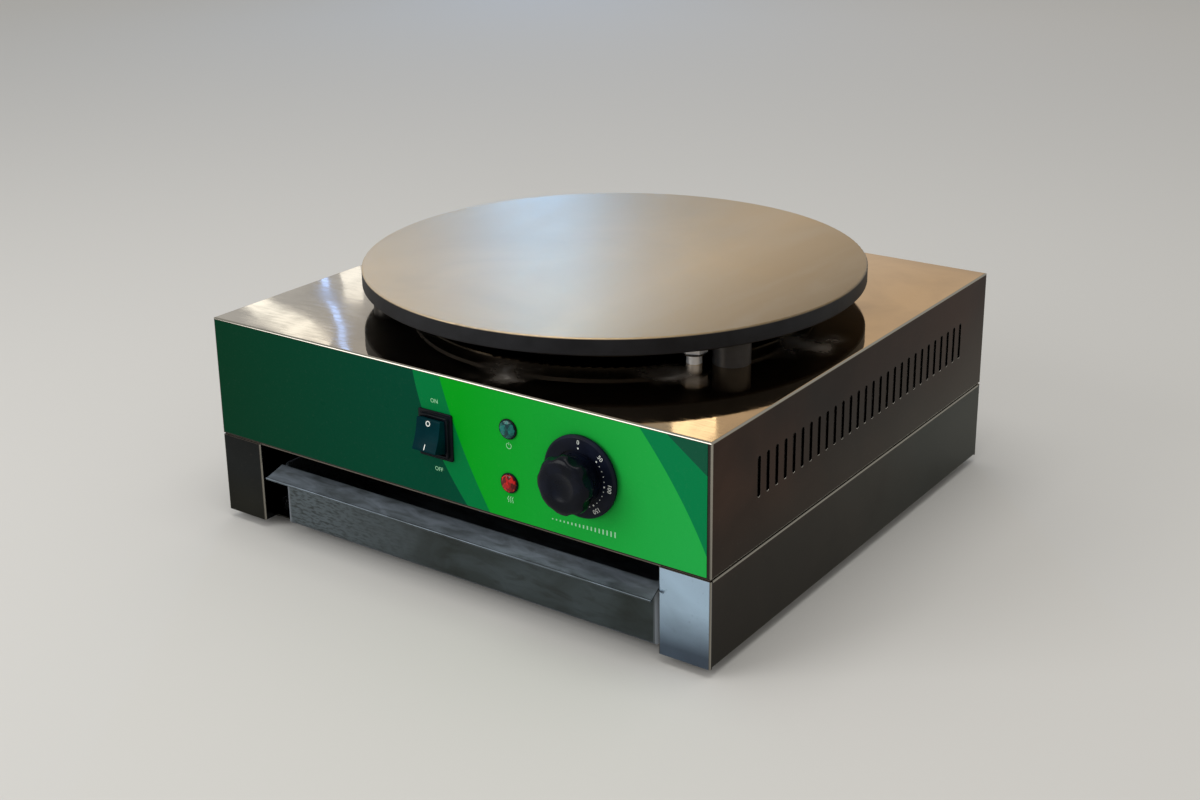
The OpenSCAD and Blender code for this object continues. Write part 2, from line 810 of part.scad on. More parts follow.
module plate_bolts()
    color("gainsboro")
        three_round(post_turn, post_r)
            union() {
                rod_z(0, 0, top_z - sheet_t - washer_t, plate_z + plate_bolt_depth, plate_bolt_d);
                translate([0, 0, top_z - sheet_t - washer_t - bolt_head_h])
                    linear_extrude(bolt_head_h)
                        hex(bolt_head_w);
            }

module plate_washers()
    color("gainsboro")
        three_round(post_turn, post_r)
            difference() {
                rod_z(0, 0, top_z - sheet_t - washer_t, top_z - sheet_t, washer_d);
                rod_z(0, 0, top_z - sheet_t - washer_t - 1, top_z, plate_bolt_d + 2 * hole_clear);
            }

// A pressed pan under the elements, held by three ears on studs
module heat_pan()
    color("silver")
        difference() {
            union() {
                translate([0, plate_y, 0])
                    rotate_extrude($fn = 180)
                        difference() {
                            pan_half(pan_out_r, pan_z, pan_r);
                            pan_half(pan_out_r - pan_t, pan_z + pan_t, pan_r - pan_t);
                        }
                three_round(post_turn + stud_turn, stud_r)
                    difference() {
                        union() {
                            translate([pan_out_r - pan_t / 2 - stud_r, -ear_w / 2, ear_top - ear_t])
                                cube([stud_r - pan_out_r + pan_t / 2, ear_w, ear_t]);
                            rod_z(0, 0, ear_top - ear_t, ear_top, ear_w);
                        }
                        translate([-ear_w - stud_r + pan_out_r - pan_t / 2, -ear_w, ear_top - ear_t - 1])
                            cube([ear_w, 2 * ear_w, ear_t + 2]);
                    }
            }
            three_round(post_turn + stud_turn, stud_r)
                rod_z(0, 0, ear_top - ear_t - 1, ear_top + 1, stud_d + 2 * hole_clear);
            leg_holes(pan_z - 1, pan_z + pan_t + 1, leg_hole_d);
            rod_z(capillary_x, bulb_y, pan_z - 1, pan_z + pan_t + 1, capillary_hole_d);
        }

// Half the outline of the pan, up to its rim
module pan_half(r, z, edge_r) {
    translate([0, z + edge_r])
        square([r, pan_rim_z - z - edge_r]);
    translate([0, z])
        square([r - edge_r, edge_r + eps]);
    intersection() {
        translate([r - edge_r, z + edge_r])
            circle(edge_r);
        translate([0, z])
            square([r, edge_r + eps]);
    }
}

module pan_spacers()
    color("gainsboro")
        three_round(post_turn + stud_turn, stud_r)
            difference() {
                rod_z(0, 0, top_z, ear_top - ear_t, spacer_d);
                rod_z(0, 0, top_z - 1, ear_top, stud_d + 2 * hole_clear);
            }

module pan_studs()
    color("gainsboro")
        three_round(post_turn + stud_turn, stud_r)
            rod_z(0, 0, top_z - sheet_t - low_nut_h - thread_out, ear_top + stud_nut_h, stud_d);

module pan_nuts()
    color("gainsboro")
        three_round(post_turn + stud_turn, stud_r) {
            hex_nut(0, 0, ear_top, ear_top + stud_nut_h, stud_nut_w, stud_d);
            hex_nut(0, 0, top_z - sheet_t - low_nut_h, top_z - sheet_t, low_nut_w, stud_d);
        }

// ---- heating elements ----

// Half a loop: an arc from the front that stops short of the rear and bends down into a leg
module half_loop(r, leg_z)
    translate([0, plate_y, element_z]) {
        rotate([0, 0, 90 + stop_angle(r)])
            rotate_extrude(angle = 180 - stop_angle(r), $fn = 96)
                translate([r, 0])
                    circle(d = element_d, $fn = 32);
        rotate([0, 0, 90 + stop_angle(r)])
            translate([r, 0, -element_bend_r]) {
                rotate([90, 0, -90])
                    rotate_extrude(angle = 90, $fn = 48)
                        translate([element_bend_r, 0])
                            circle(d = element_d, $fn = 32);
                translate([0, -element_bend_r, leg_z - element_z + element_bend_r])
                    cylinder(d = element_d, h = element_z - leg_z - element_bend_r, $fn = 32);
            }
    }

module element_loop(r, leg_z)
    both_sides()
        half_loop(r, leg_z);

leg_end_z = top_z - leg_drop;

module outer_element()
    color([0.35, 0.3, 0.27])
        element_loop(outer_loop_r, leg_end_z);

module inner_element()
    color([0.35, 0.3, 0.27])
        element_loop(inner_loop_r, leg_end_z);

module each_clamp()
    for (i = [0:clamp_count - 1])
        translate([0, plate_y, 0])
            rotate([0, 0, (i + 0.5) * 360 / clamp_count])
                children();

module element_clamps()
    color("silver")
        each_clamp()
            difference() {
                block([clamp_ends[0], -clamp_w / 2, clamp_top - clamp_t],
                      [clamp_ends[1], clamp_w / 2, clamp_top]);
                rod_z(clamp_r, 0, clamp_top - clamp_t - 1, clamp_top + 1, clamp_stud_d + 2 * hole_clear);
            }

module clamp_studs()
    color("gainsboro")
        each_clamp()
            rod_z(clamp_r, 0, clamp_top - clamp_t - clamp_nut_h, plate_z + clamp_hole_depth,
                  clamp_stud_d);

module clamp_nuts()
    color("gainsboro")
        each_clamp()
            hex_nut(clamp_r, 0, clamp_top - clamp_t - clamp_nut_h, clamp_top - clamp_t,
                    m5_nut_w, clamp_stud_d);

pad_side_gap = 0.5;
pad_nut_clear = 2;

module insulation_pad()
    color("white")
        difference() {
            translate([0, plate_y, pad_z])
                cylinder(r = pan_out_r - pan_r - pad_side_gap, h = pad_t, $fn = 120);
            each_clamp()
                rod_z(clamp_r, 0, pad_z - 1, pad_z + pad_t + 1,
                      m5_nut_w / cos(30) + 2 * pad_nut_clear);
            leg_holes(pad_z - 1, pad_z + pad_t + 1, element_d + 2 * pad_leg_clear);
            rod_z(capillary_x, bulb_y, pad_z - 1, pad_z + pad_t + 1, capillary_hole_d);
        }

bead_h = 6;
bead_d = element_d + 2;
terminal_h = 10;
link_w = 12;
link_t = 1.5;
link_z = leg_end_z - bead_h - link_t;

// A ceramic bead and a threaded pin at the end of each element leg
module element_terminals()
    color("ivory")
        for (s = [-1, 1])
            for (r = [outer_loop_r, inner_loop_r]) {
                rod_z(s * leg_x(r), leg_y(r), leg_end_z - bead_h, leg_end_z, bead_d);
                rod_z(s * leg_x(r), leg_y(r), leg_end_z - bead_h - terminal_h, leg_end_z, m4_d);
            }

// A brass bar on each side that joins the legs of the two loops, with a nut under each pin
module element_links()
    color("goldenrod")
        for (s = [-1, 1]) {
            difference() {
                block([s * leg_x(outer_loop_r) - link_w / 2, leg_y(inner_loop_r) - link_w / 2,
                       link_z],
                      [s * leg_x(outer_loop_r) + link_w / 2, leg_y(outer_loop_r) + link_w / 2,
                       link_z + link_t]);
                leg_holes(link_z - 1, link_z + link_t + 1, m4_d + 2 * hole_clear);
            }
            for (r = [outer_loop_r, inner_loop_r])
                hex_nut(s * leg_x(r), leg_y(r), link_z - m4_nut_h, link_z, m4_nut_w, m4_d);
        }

// ---- switch ----

rocker_w = switch_body_w - 2 * switch_wall - 2 * rocker_clear;
well_h = switch_body_h - 2 * switch_wall;
pivot_out = 1.4;
pivot_y = panel_y - pivot_out;
collar_y = panel_y - bezel_t - collar_out;
pin_len = 1.4;
pin_end_gap = 0.3;
rocker_foot = 3.5;
rocker_end_gap = 0.5;
rocker_half = cos(rocker_tilt)
    * (well_h / 2 - rocker_end_gap - (pivot_y - collar_y) * tan(rocker_tilt));
rocker_face_r = 60;
rocker_rim = 0.3;
rocker_top = rocker_out + rocker_face_r - sqrt(pow(rocker_face_r, 2) - pow(rocker_half, 2))
    - rocker_rim;
rocker_chamfer = 2.4;
well_depth = 12;
bezel_edge_r = 0.7;
bezel_corner_r = 2;
collar_corner_r = 3;

module switch_body()
    color([0.05, 0.06, 0.06])
        difference() {
            union() {
                round_block([switch_x - bezel_w / 2, panel_y - bezel_t, switch_z - bezel_h / 2],
                            [switch_x + bezel_w / 2, panel_y, switch_z + bezel_h / 2],
                            bezel_edge_r, bezel_corner_r, bezel_edge_r);
                block([switch_x - switch_body_w / 2, panel_y - eps, switch_z - switch_body_h / 2],
                      [switch_x + switch_body_w / 2, panel_y + switch_depth,
                       switch_z + switch_body_h / 2]);
                round_block([switch_x - switch_body_w / 2, collar_y, switch_z - switch_body_h / 2],
                            [switch_x + switch_body_w / 2, panel_y, switch_z + switch_body_h / 2],
                            bezel_edge_r, collar_corner_r, bezel_edge_r);
            }
            block([switch_x - switch_body_w / 2 + switch_wall, collar_y - 1,
                   switch_z - well_h / 2],
                  [switch_x + switch_body_w / 2 - switch_wall, panel_y + well_depth,
                   switch_z + well_h / 2]);
            translate([switch_x - rocker_w / 2 - rocker_clear - pin_len - pin_end_gap, pivot_y,
                       switch_z])
                rotate([0, 90, 0])
                    cylinder(d = rocker_pin_d + 2 * pin_clear,
                             h = rocker_w + 2 * (rocker_clear + pin_len + pin_end_gap));
        }

// The rocker's outline in its own plane: first number up, second number inwards
module rocker_outline()
    difference() {
        translate([-rocker_half, -rocker_top])
            square([2 * rocker_half, rocker_foot + rocker_top]);
        translate([0, -rocker_face_r - rocker_out])
            circle(rocker_face_r, $fn = 180);
        for (s = [-1, 1])
            translate([s * rocker_half, rocker_foot])
                rotate(45)
                    square(rocker_chamfer, center = true);
    }

module rocker()
    color([0.03, 0.12, 0.13])
        translate([switch_x, pivot_y, switch_z])
            rotate([-rocker_tilt, 0, 0])
                union() {
                    translate([rocker_w / 2, 0, 0])
                        rotate([0, -90, 0])
                            linear_extrude(rocker_w)
                                rocker_outline();
                    translate([-rocker_w / 2 - rocker_clear - pin_len, 0, 0])
                        rotate([0, 90, 0])
                            cylinder(d = rocker_pin_d, h = rocker_w + 2 * rocker_clear + 2 * pin_len);
                }

blade_w = 6.3;
blade_t = 0.8;
blade_len = 9;
blade_x = 6;
blade_z = 8;

module switch_terminals()
    color("goldenrod")
        for (s = [-1, 1])
            for (u = [-1, 1])
                block([switch_x + s * blade_x - blade_t / 2, panel_y + switch_depth,
                       switch_z + u * blade_z - blade_w / 2],
                      [switch_x + s * blade_x + blade_t / 2, panel_y + switch_depth + blade_len,
                       switch_z + u * blade_z + blade_w / 2]);

// ---- lamps ----

lamp_ring_t = 1.2;
lens_d = lamp_body_d - 2 * lamp_wall;
lens_out = 3;
lens_in = 5;
lens_room = 10;
lens_skirt = 0.8;
lens_row_h = 1;
lens_row_in = 1;
lens_tip_in = 3.5;

module lamp_bodies()
    color([0.06, 0.06, 0.06])
        for (z = lamp_zs)
            difference() {
                union() {
                    rod_y(lamp_right, panel_y - lamp_ring_t, panel_y, z, lamp_d);
                    rod_y(lamp_right, panel_y - eps, panel_y + lamp_depth, z, lamp_body_d);
                }
                rod_y(lamp_right, panel_y - lamp_ring_t - 1, panel_y + lens_in + lens_room, z, lens_d);
            }

// A moulded lens: a stub in the lamp's bore and a low dome cut into twelve facets
module lamp_lens(z)
    translate([lamp_right, panel_y + lens_in, z])
        rotate([90, 0, 0])
            union() {
                cylinder(d = lens_d, h = lens_in + lens_skirt);
                translate([0, 0, lens_in + lens_skirt])
                    cylinder(d1 = lens_d, d2 = lens_d - 2 * lens_row_in, h = lens_row_h, $fn = 12);
                translate([0, 0, lens_in + lens_skirt + lens_row_h])
                    cylinder(d1 = lens_d - 2 * lens_row_in, d2 = lens_d - 2 * lens_tip_in,
                             h = lens_out - lens_skirt - lens_row_h, $fn = 12);
            }

module green_lamp_lens()
    color([0.02, 0.45, 0.35])
        lamp_lens(lamp_zs[0]);

module red_lamp_lens()
    color([0.8, 0.05, 0.06])
        lamp_lens(lamp_zs[1]);

// ---- thermostat and knob ----

thermostat_gap = 8;
thermostat_y0 = front_y + sheet_t + thermostat_gap;
thermostat_y1 = thermostat_y0 + thermostat_d;
thermostat_r = 3;
bracket_side = 6;
bracket_half_h = 7;
bracket_t = 1.5;
bracket_x = thermostat_screw_pitch / 2 + bracket_side - bracket_t / 2;
bracket_in = 4;
thermostat_screw_in = 4;
flat_head_d = m4_head_d - 1;
flat_head_h = 1.2;
bush_out = 1.2;
shaft_in = 11;
shaft_end_gap = 1;
shaft_tip_in = 6;
shaft_flat = 1.2;
shaft_tip_y = front_y - knob_out + shaft_tip_in;
dial_y0 = panel_y - dial_gap - dial_t;
dial_y1 = panel_y - dial_gap;
grip_y0 = front_y - knob_out;
groove_depth = 1.4;
groove_w = 2.2;
dial_back_edge = 0.4;
dial_slope = 1.2;
dial_slope_h = 0.2;
dial_face_in = 1.8;

// Body, the bracket that stands it off the panel, and the threaded bush round the shaft
module thermostat_body()
    color([0.8, 0.79, 0.74])
        difference() {
            union() {
                round_block([knob_right - thermostat_w / 2, thermostat_y0, knob_z - thermostat_h / 2],
                            [knob_right + thermostat_w / 2, thermostat_y1, knob_z + thermostat_h / 2],
                            thermostat_r, thermostat_r, thermostat_r);
                rod_y(knob_right, front_y - bush_out, thermostat_y0 + 1, knob_z, bush_d);
                block([knob_right - bracket_x - bracket_t / 2, front_y + sheet_t,
                       knob_z - bracket_half_h],
                      [knob_right + bracket_x + bracket_t / 2, front_y + sheet_t + bracket_t,
                       knob_z + bracket_half_h]);
                for (s = [-1, 1])
                    block([knob_right + s * bracket_x - bracket_t / 2, front_y + sheet_t,
                           knob_z - bracket_half_h],
                          [knob_right + s * bracket_x + bracket_t / 2, thermostat_y0 + bracket_in,
                           knob_z + bracket_half_h]);
            }
            rod_y(knob_right, front_y - bush_out - 1, thermostat_y0 + shaft_in + shaft_end_gap,
                  knob_z, shaft_d + 2 * shaft_clear);
            for (s = [-1, 1])
                rod_y(knob_right + s * thermostat_screw_pitch / 2, front_y,
                      front_y + sheet_t + 2 * bracket_t, knob_z, m4_core_d);
        }

module thermostat_screws()
    color("gainsboro")
        for (s = [-1, 1])
            translate([knob_right + s * thermostat_screw_pitch / 2, panel_y, knob_z])
                rotate([-90, 0, 0])
                    pan_screw_up(0, 0, 0, overlay_t + sheet_t + thermostat_screw_in, m4_core_d,
                                 flat_head_d, flat_head_h);

// The shaft, with a flat filed on it where the knob grips it
module thermostat_shaft()
    color("gainsboro")
        difference() {
            rod_y(knob_right, shaft_tip_y, thermostat_y0 + shaft_in, knob_z, shaft_d);
            block([knob_right - shaft_d, shaft_tip_y - 1, knob_z + shaft_d / 2 - shaft_flat],
                  [knob_right + shaft_d, dial_y1, knob_z + shaft_d]);
        }

// The part that the knob's bore takes away: a round hole with the flat left standing
module shaft_bore(y0, y1)
    difference() {
        rod_y(knob_right, y0, y1, knob_z, shaft_d);
        block([knob_right - shaft_d, y0 - 1, knob_z + shaft_d / 2 - shaft_flat],
              [knob_right + shaft_d, y1 + 1, knob_z + shaft_d]);
    }

// A disc with a sloping edge and a groove round the grip
module dial_skirt()
    color([0.05, 0.05, 0.055])
        difference() {
            translate([knob_right, dial_y1, knob_z])
                rotate([90, 0, 0])
                    rotate_extrude($fn = 120)
                        difference() {
                            polygon([[0, 0], [dial_d / 2 - dial_back_edge, 0],
                                     [dial_d / 2, dial_back_edge],
                                     [dial_d / 2, dial_t - dial_slope],
                                     [dial_d / 2 - dial_slope, dial_t - dial_slope_h],
                                     [dial_d / 2 - dial_face_in, dial_t], [0, dial_t]]);
                            translate([grip_foot_d / 2, dial_t - groove_depth])
                                square([groove_w, groove_depth + 1]);
                        }
            rod_y(knob_right, dial_y0 - 1, dial_y1 + 1, knob_z, shaft_d);
        }

grip_h = dial_y0 - grip_y0;
grip_dome_r = 60;
cap_edge_r = 1;
flute_r = 11;
// Each flute starts at this share of the grip's height
flute_foot = 0.15;
// The barrel's outline: distances out from the axis, and shares of the grip's height
barrel = [[0, 0], [grip_foot_d / 2, 0], [grip_foot_d / 2 + 0.4, 0.2], [grip_d / 2 - 0.9, 0.55],
          [grip_d / 2, 0.7], [grip_d / 2 - 0.5, 0.78], [0, 0.78]];
// The dome and the cap start inside the barrel at this height
core_z = grip_h * 0.6;

// Half the outline of the grip: first number out from the axis, second forward from the dial
module grip_outline()
    difference() {
        union() {
            polygon([for (p = barrel) [p[0], p[1] * grip_h]]);
            intersection() {
                translate([0, grip_h - cap_rise - grip_dome_r])
                    circle(grip_dome_r, $fn = 240);
                translate([0, core_z])
                    square([barrel[4][0], grip_h - core_z]);
            }
            translate([0, core_z])
                square([cap_d / 2 - cap_edge_r, grip_h - core_z]);
            translate([0, core_z])
                square([cap_d / 2, grip_h - core_z - cap_edge_r]);
            translate([cap_d / 2 - cap_edge_r, grip_h - cap_edge_r])
                circle(cap_edge_r);
        }
        translate([0, grip_h])
            square([grip_d, 5]);
        translate([-grip_d, -1])
            square([grip_d, grip_h + 2]);
    }

module knob_grip()
    color([0.04, 0.045, 0.05])
        difference() {
            translate([knob_right, dial_y0, knob_z])
                rotate([90, 0, 0])
                    difference() {
                        rotate_extrude($fn = 120)
                            grip_outline();
                        for (i = [0:flute_count - 1])
                            rotate([0, 0, (i + 0.5) * 360 / flute_count])
                                translate([grip_d / 2 + flute_r - flute_depth, 0,
                                           grip_h * flute_foot])
                                    cylinder(r = flute_r, h = grip_h, $fn = 48);
                    }
            shaft_bore(shaft_tip_y, dial_y0 + 1);
        }

// ---- temperature sensor ----

bulb_z = plate_z - seat_gap - bulb_d / 2;
capillary_over = 12;
capillary_low_z = knob_z + thermostat_h / 2 + capillary_over;
capillary_exit_y = thermostat_y0 + thermostat_d / 2;

module sensing_bulb()
    color("peru")
        translate([-bulb_len / 2, bulb_y, bulb_z])
            rotate([0, 90, 0])
                cylinder(d = bulb_d, h = bulb_len);

clip_x = 18;
clip_half_w = 4;
clip_foot = 5;
clip_t = 1;

// Two straps that hold the bulb up against the plate
module bulb_clips()
    color("silver")
        for (s = [-1, 1])
            translate([s * clip_x, bulb_y, 0])
                difference() {
                    block([-clip_half_w, -bulb_d / 2 - clip_foot, bulb_z - bulb_d / 2 - clip_t],
                          [clip_half_w, bulb_d / 2 + clip_foot, plate_z]);
                    for (side = [-1, 1])
                        block([-clip_half_w - 1,
                               side * (bulb_d / 2 + (clip_foot + clip_t + 1) / 2)
                               - (clip_foot - clip_t + 1) / 2,
                               bulb_z - bulb_d / 2 - clip_t - 1],
                              [clip_half_w + 1,
                               side * (bulb_d / 2 + (clip_foot + clip_t + 1) / 2)
                               + (clip_foot - clip_t + 1) / 2,
                               plate_z - clip_t]);
                    block([-clip_half_w - 1, -bulb_d / 2, bulb_z],
                          [clip_half_w + 1, bulb_d / 2, plate_z + 1]);
                    translate([-clip_half_w - 1, 0, bulb_z])
                        rotate([0, 90, 0])
                            cylinder(d = bulb_d, h = 2 * clip_half_w + 2);
                }

// One length of round wire or tube along an axis direction
module wire_run(a, b, d) {
    len = norm(b - a);
    dir = (b - a) / len;
    translate(a)
        rotate([0, acos(dir[2]), atan2(dir[1], dir[0])])
            cylinder(d = d, h = len, $fn = 16);
}

// A wire or tube through points, each run square to the last, with a round elbow at each turn
module wire_path(points, d, r)
    for (i = [0:len(points) - 2]) {
        dir = (points[i + 1] - points[i]) / norm(points[i + 1] - points[i]);
        first = i == 0;
        last = i == len(points) - 2;
        wire_run(points[i] + (first ? 0 : r) * dir, points[i + 1] - (last ? 0 : r) * dir, d);
        if (!last)
            elbow(points[i + 1], dir,
                  (points[i + 2] - points[i + 1]) / norm(points[i + 2] - points[i + 1]), d, r);
    }

// A quarter turn at corner p from direction u to direction v
module elbow(p, u, v, d, r) {
    w = cross(u, v);
    multmatrix([[u[0], v[0], w[0], p[0] - r * u[0] + r * v[0]],
                [u[1], v[1], w[1], p[1] - r * u[1] + r * v[1]],
                [u[2], v[2], w[2], p[2] - r * u[2] + r * v[2]],
                [0, 0, 0, 1]])
        rotate([0, 0, -90])
            rotate_extrude(angle = 90, $fn = 24)
                translate([r, 0])
                    circle(d = d, $fn = 16);
}

module capillary_tube()
    color("peru")
        wire_path([[bulb_len / 2 + seat_gap, bulb_y, bulb_z],
                   [capillary_x, bulb_y, bulb_z],
                   [capillary_x, bulb_y, capillary_low_z],
                   [knob_right, bulb_y, capillary_low_z],
                   [knob_right, capillary_exit_y, capillary_low_z],
                   [knob_right, capillary_exit_y, knob_z + thermostat_h / 2]],
                  capillary_d, capillary_bend_r);

// ---- mains wiring ----

block_aside = 40;
block_inset = 70;
block_x = gland_x + block_aside;
block_y = rear_y - block_inset;
block_w = 44;
block_d = 22;
block_h = 18;
block_screw_half = 17;
way_pitch = 11;
way_screw = 6;
way_screw_sunk = 1;
wire_hole_clear = 0.5;
earth_aside = 45;
earth_x = block_x + earth_aside;
earth_stud_h = 16;
lug_gap = 1.5;
wire_rise = 8;
wire_z = housing_z + wire_rise;
wire_bend_r = 6;

// A ceramic three-way block with a hole for each wire and each clamp screw
module terminal_block()
    color("ivory")
        difference() {
            block([block_x - block_w / 2, block_y - block_d / 2, housing_z],
                  [block_x + block_w / 2, block_y + block_d / 2, housing_z + block_h]);
            for (i = [-1:1]) {
                rod_y(block_x + i * way_pitch, block_y - block_d, block_y + block_d, wire_z,
                      wire_d + 2 * wire_hole_clear);
                for (s = [-1, 1])
                    rod_z(block_x + i * way_pitch, block_y + s * way_screw, wire_z,
                          housing_z + block_h + 1, m4_d);
            }
            for (s = [-1, 1])
                rod_z(block_x + s * block_screw_half, block_y, housing_z - 1,
                      housing_z + block_h + 1, m4_d + 2 * hole_clear);
        }

module terminal_screws()
    color("goldenrod") {
        for (i = [-1:1])
            for (s = [-1, 1])
                rod_z(block_x + i * way_pitch, block_y + s * way_screw, wire_z + wire_d / 2,
                      housing_z + block_h - way_screw_sunk, m4_d);
        for (s = [-1, 1])
            union() {
                rod_z(block_x + s * block_screw_half, block_y, frame_top - screw_out,
                      housing_z + block_h, m4_core_d);
                rod_z(block_x + s * block_screw_half, block_y, housing_z + block_h,
                      housing_z + block_h + m4_head_h, m4_head_d);
            }
    }

module earth_stud()
    color("goldenrod") {
        rod_z(earth_x, block_y, frame_top - screw_out, housing_z + earth_stud_h, m5_d);
        hex_nut(earth_x, block_y, housing_z, housing_z + m5_nut_h, m5_nut_w, m5_d);
        hex_nut(earth_x, block_y, frame_top - screw_out, frame_top, m5_nut_w, m5_d);
        hex_nut(earth_x, block_y, housing_z + m5_nut_h + lug_gap,
                housing_z + 2 * m5_nut_h + lug_gap, m5_nut_w, m5_d);
    }

switch_back_y = panel_y + switch_depth + blade_len;
pin_end_z = leg_end_z - bead_h - terminal_h;
loom_drop = 20;
loom_z = pin_end_z - loom_drop;
loom_x = -60;
lead_y = front_y + 60;
thermostat_lead_y = switch_back_y + 20;
neutral_y = switch_back_y + 30;
tab_aside = 8;
earth_lead_y = block_y - 30;
earth_lead_x = earth_x + 10;
earth_bend_r = 4;
lead_in = [1, 2];

// Leads from the block to the switch, on to the thermostat and the elements
module wiring()
    color("saddlebrown") {
        // live and neutral, block to switch
        for (s = [-1, 1])
            wire_path([[block_x + (s + 1) / 2 * way_pitch, block_y - lead_in[0], wire_z],
                       [block_x + (s + 1) / 2 * way_pitch, lead_y - s * blade_x, wire_z],
                       [switch_x + s * blade_x, lead_y - s * blade_x, wire_z],
                       [switch_x + s * blade_x, lead_y - s * blade_x, switch_z - blade_z],
                       [switch_x + s * blade_x, switch_back_y, switch_z - blade_z]],
                      wire_d, wire_bend_r);
        // switched live to the thermostat
        wire_path([[switch_x + blade_x, switch_back_y, switch_z + blade_z],
                   [switch_x + blade_x, thermostat_lead_y, switch_z + blade_z],
                   [knob_right - tab_aside, thermostat_lead_y, switch_z + blade_z],
                   [knob_right - tab_aside, thermostat_y1, switch_z + blade_z]],
                  wire_d, wire_bend_r);
        // thermostat to the first leg of the outer loop
        wire_path([[knob_right + tab_aside, thermostat_y1, knob_z - tab_aside],
                   [knob_right + tab_aside, leg_y(outer_loop_r), knob_z - tab_aside],
                   [leg_x(outer_loop_r), leg_y(outer_loop_r), knob_z - tab_aside],
                   [leg_x(outer_loop_r), leg_y(outer_loop_r), pin_end_z]],
                  wire_d, wire_bend_r);
        // switched neutral to the other leg
        wire_path([[switch_x - blade_x, switch_back_y, switch_z + blade_z],
                   [switch_x - blade_x, neutral_y, switch_z + blade_z],
                   [switch_x - blade_x, neutral_y, loom_z],
                   [loom_x, neutral_y, loom_z],
                   [loom_x, leg_y(outer_loop_r), loom_z],
                   [-leg_x(outer_loop_r), leg_y(outer_loop_r), loom_z],
                   [-leg_x(outer_loop_r), leg_y(outer_loop_r), pin_end_z]],
                  wire_d, wire_bend_r);
        // earth lead, block to stud
        wire_path([[block_x - way_pitch, block_y - block_d / 2 + lead_in[1], wire_z],
                   [block_x - way_pitch, earth_lead_y, wire_z],
                   [earth_lead_x, earth_lead_y, wire_z],
                   [earth_lead_x, block_y, wire_z],
                   [earth_x + m5_nut_w / cos(30) / 2 + seat_gap, block_y, wire_z]],
                  wire_d, earth_bend_r);
    }

// ---- cable gland ----

gland_hex_w = gland_thread_d + 4;
gland_hex_t = 7;
seal_d = cable_d + 5;
gland_in = 12;
thread_sunk = 2;
gland_shoulder = 0.55;
gland_lip = 2;
gland_nut_w = gland_hex_w + 2;
gland_nut_t = 5;

module cable_gland()
    color([0.06, 0.06, 0.065])
        difference() {
            union() {
                rod_y(gland_x, rear_y - sheet_t - gland_in, rear_y + thread_sunk, gland_z,
                      gland_thread_d);
                translate([gland_x, rear_y + gland_hex_t, gland_z])
                    rotate([90, 0, 0])
                        linear_extrude(gland_hex_t)
                            hex(gland_hex_w);
                translate([gland_x, rear_y + gland_hex_t, gland_z])
                    rotate([-90, 0, 0])
                        rotate_extrude()
                            polygon([[0, 0], [gland_hex_w / 2, 0],
                                     [gland_hex_w / 2, (gland_out - gland_hex_t) * gland_shoulder],
                                     [seal_d / 2 + gland_lip, gland_out - gland_hex_t],
                                     [0, gland_out - gland_hex_t]]);
            }
            rod_y(gland_x, rear_y - sheet_t - gland_in - 1, rear_y + gland_out + 1, gland_z, seal_d);
        }

module gland_nut()
    color([0.06, 0.06, 0.065])
        translate([gland_x, rear_y - sheet_t, gland_z])
            rotate([90, 0, 0])
                linear_extrude(gland_nut_t)
                    difference() {
                        hex(gland_nut_w);
                        circle(d = gland_thread_d);
                    }

module gland_seal()
    color([0.12, 0.12, 0.12])
        difference() {
            rod_y(gland_x, rear_y, rear_y + gland_out, gland_z, seal_d);
            rod_y(gland_x, rear_y - 1, rear_y + gland_out + 1, gland_z, cable_d);
        }

left_side_panel();
right_side_panel();
rear_panel();
rear_panel_screws();
drawer_guides();
rubber_feet();
foot_screws();
foot_nuts();
housing_floor();
upper_housing();
housing_screws();
housing_nuts();
front_overlay();
griddle_plate();
plate_posts();
plate_bolts();
plate_washers();
heat_pan();
insulation_pad();
pan_studs();
pan_spacers();
pan_nuts();
outer_element();
inner_element();
element_clamps();
clamp_studs();
clamp_nuts();
element_terminals();
element_links();
switch_body();
switch_terminals();
rocker();
lamp_bodies();
green_lamp_lens();
red_lamp_lens();
thermostat_body();
thermostat_screws();
thermostat_shaft();
dial_skirt();
knob_grip();
sensing_bulb();
bulb_clips();
capillary_tube();
terminal_block();
terminal_screws();
earth_stud();
wiring();
cable_gland();
gland_nut();
gland_seal();
drip_drawer();
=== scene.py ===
import math
import bmesh
import bpy
from mathutils import Matrix, Vector


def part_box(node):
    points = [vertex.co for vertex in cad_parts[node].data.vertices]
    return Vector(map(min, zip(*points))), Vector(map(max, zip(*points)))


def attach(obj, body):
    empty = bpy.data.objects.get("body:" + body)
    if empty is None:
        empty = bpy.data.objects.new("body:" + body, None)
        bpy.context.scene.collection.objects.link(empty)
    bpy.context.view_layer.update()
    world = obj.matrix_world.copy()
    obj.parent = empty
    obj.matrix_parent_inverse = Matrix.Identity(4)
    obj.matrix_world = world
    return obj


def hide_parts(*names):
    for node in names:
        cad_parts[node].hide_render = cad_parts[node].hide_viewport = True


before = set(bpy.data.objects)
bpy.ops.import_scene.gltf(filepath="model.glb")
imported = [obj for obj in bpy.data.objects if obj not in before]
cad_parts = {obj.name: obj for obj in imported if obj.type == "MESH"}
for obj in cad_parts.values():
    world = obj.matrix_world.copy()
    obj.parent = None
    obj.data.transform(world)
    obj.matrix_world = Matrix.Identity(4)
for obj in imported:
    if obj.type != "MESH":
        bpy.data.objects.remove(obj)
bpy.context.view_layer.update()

# ---- Studio ----
# A pale matt floor and a pale surround. One large soft lamp hangs overhead and another stands in
# front. The small ones behind the left rear corner are there for their streaks in the steel.
# They light the object at a plain level, so that a colour looks about as it is written.


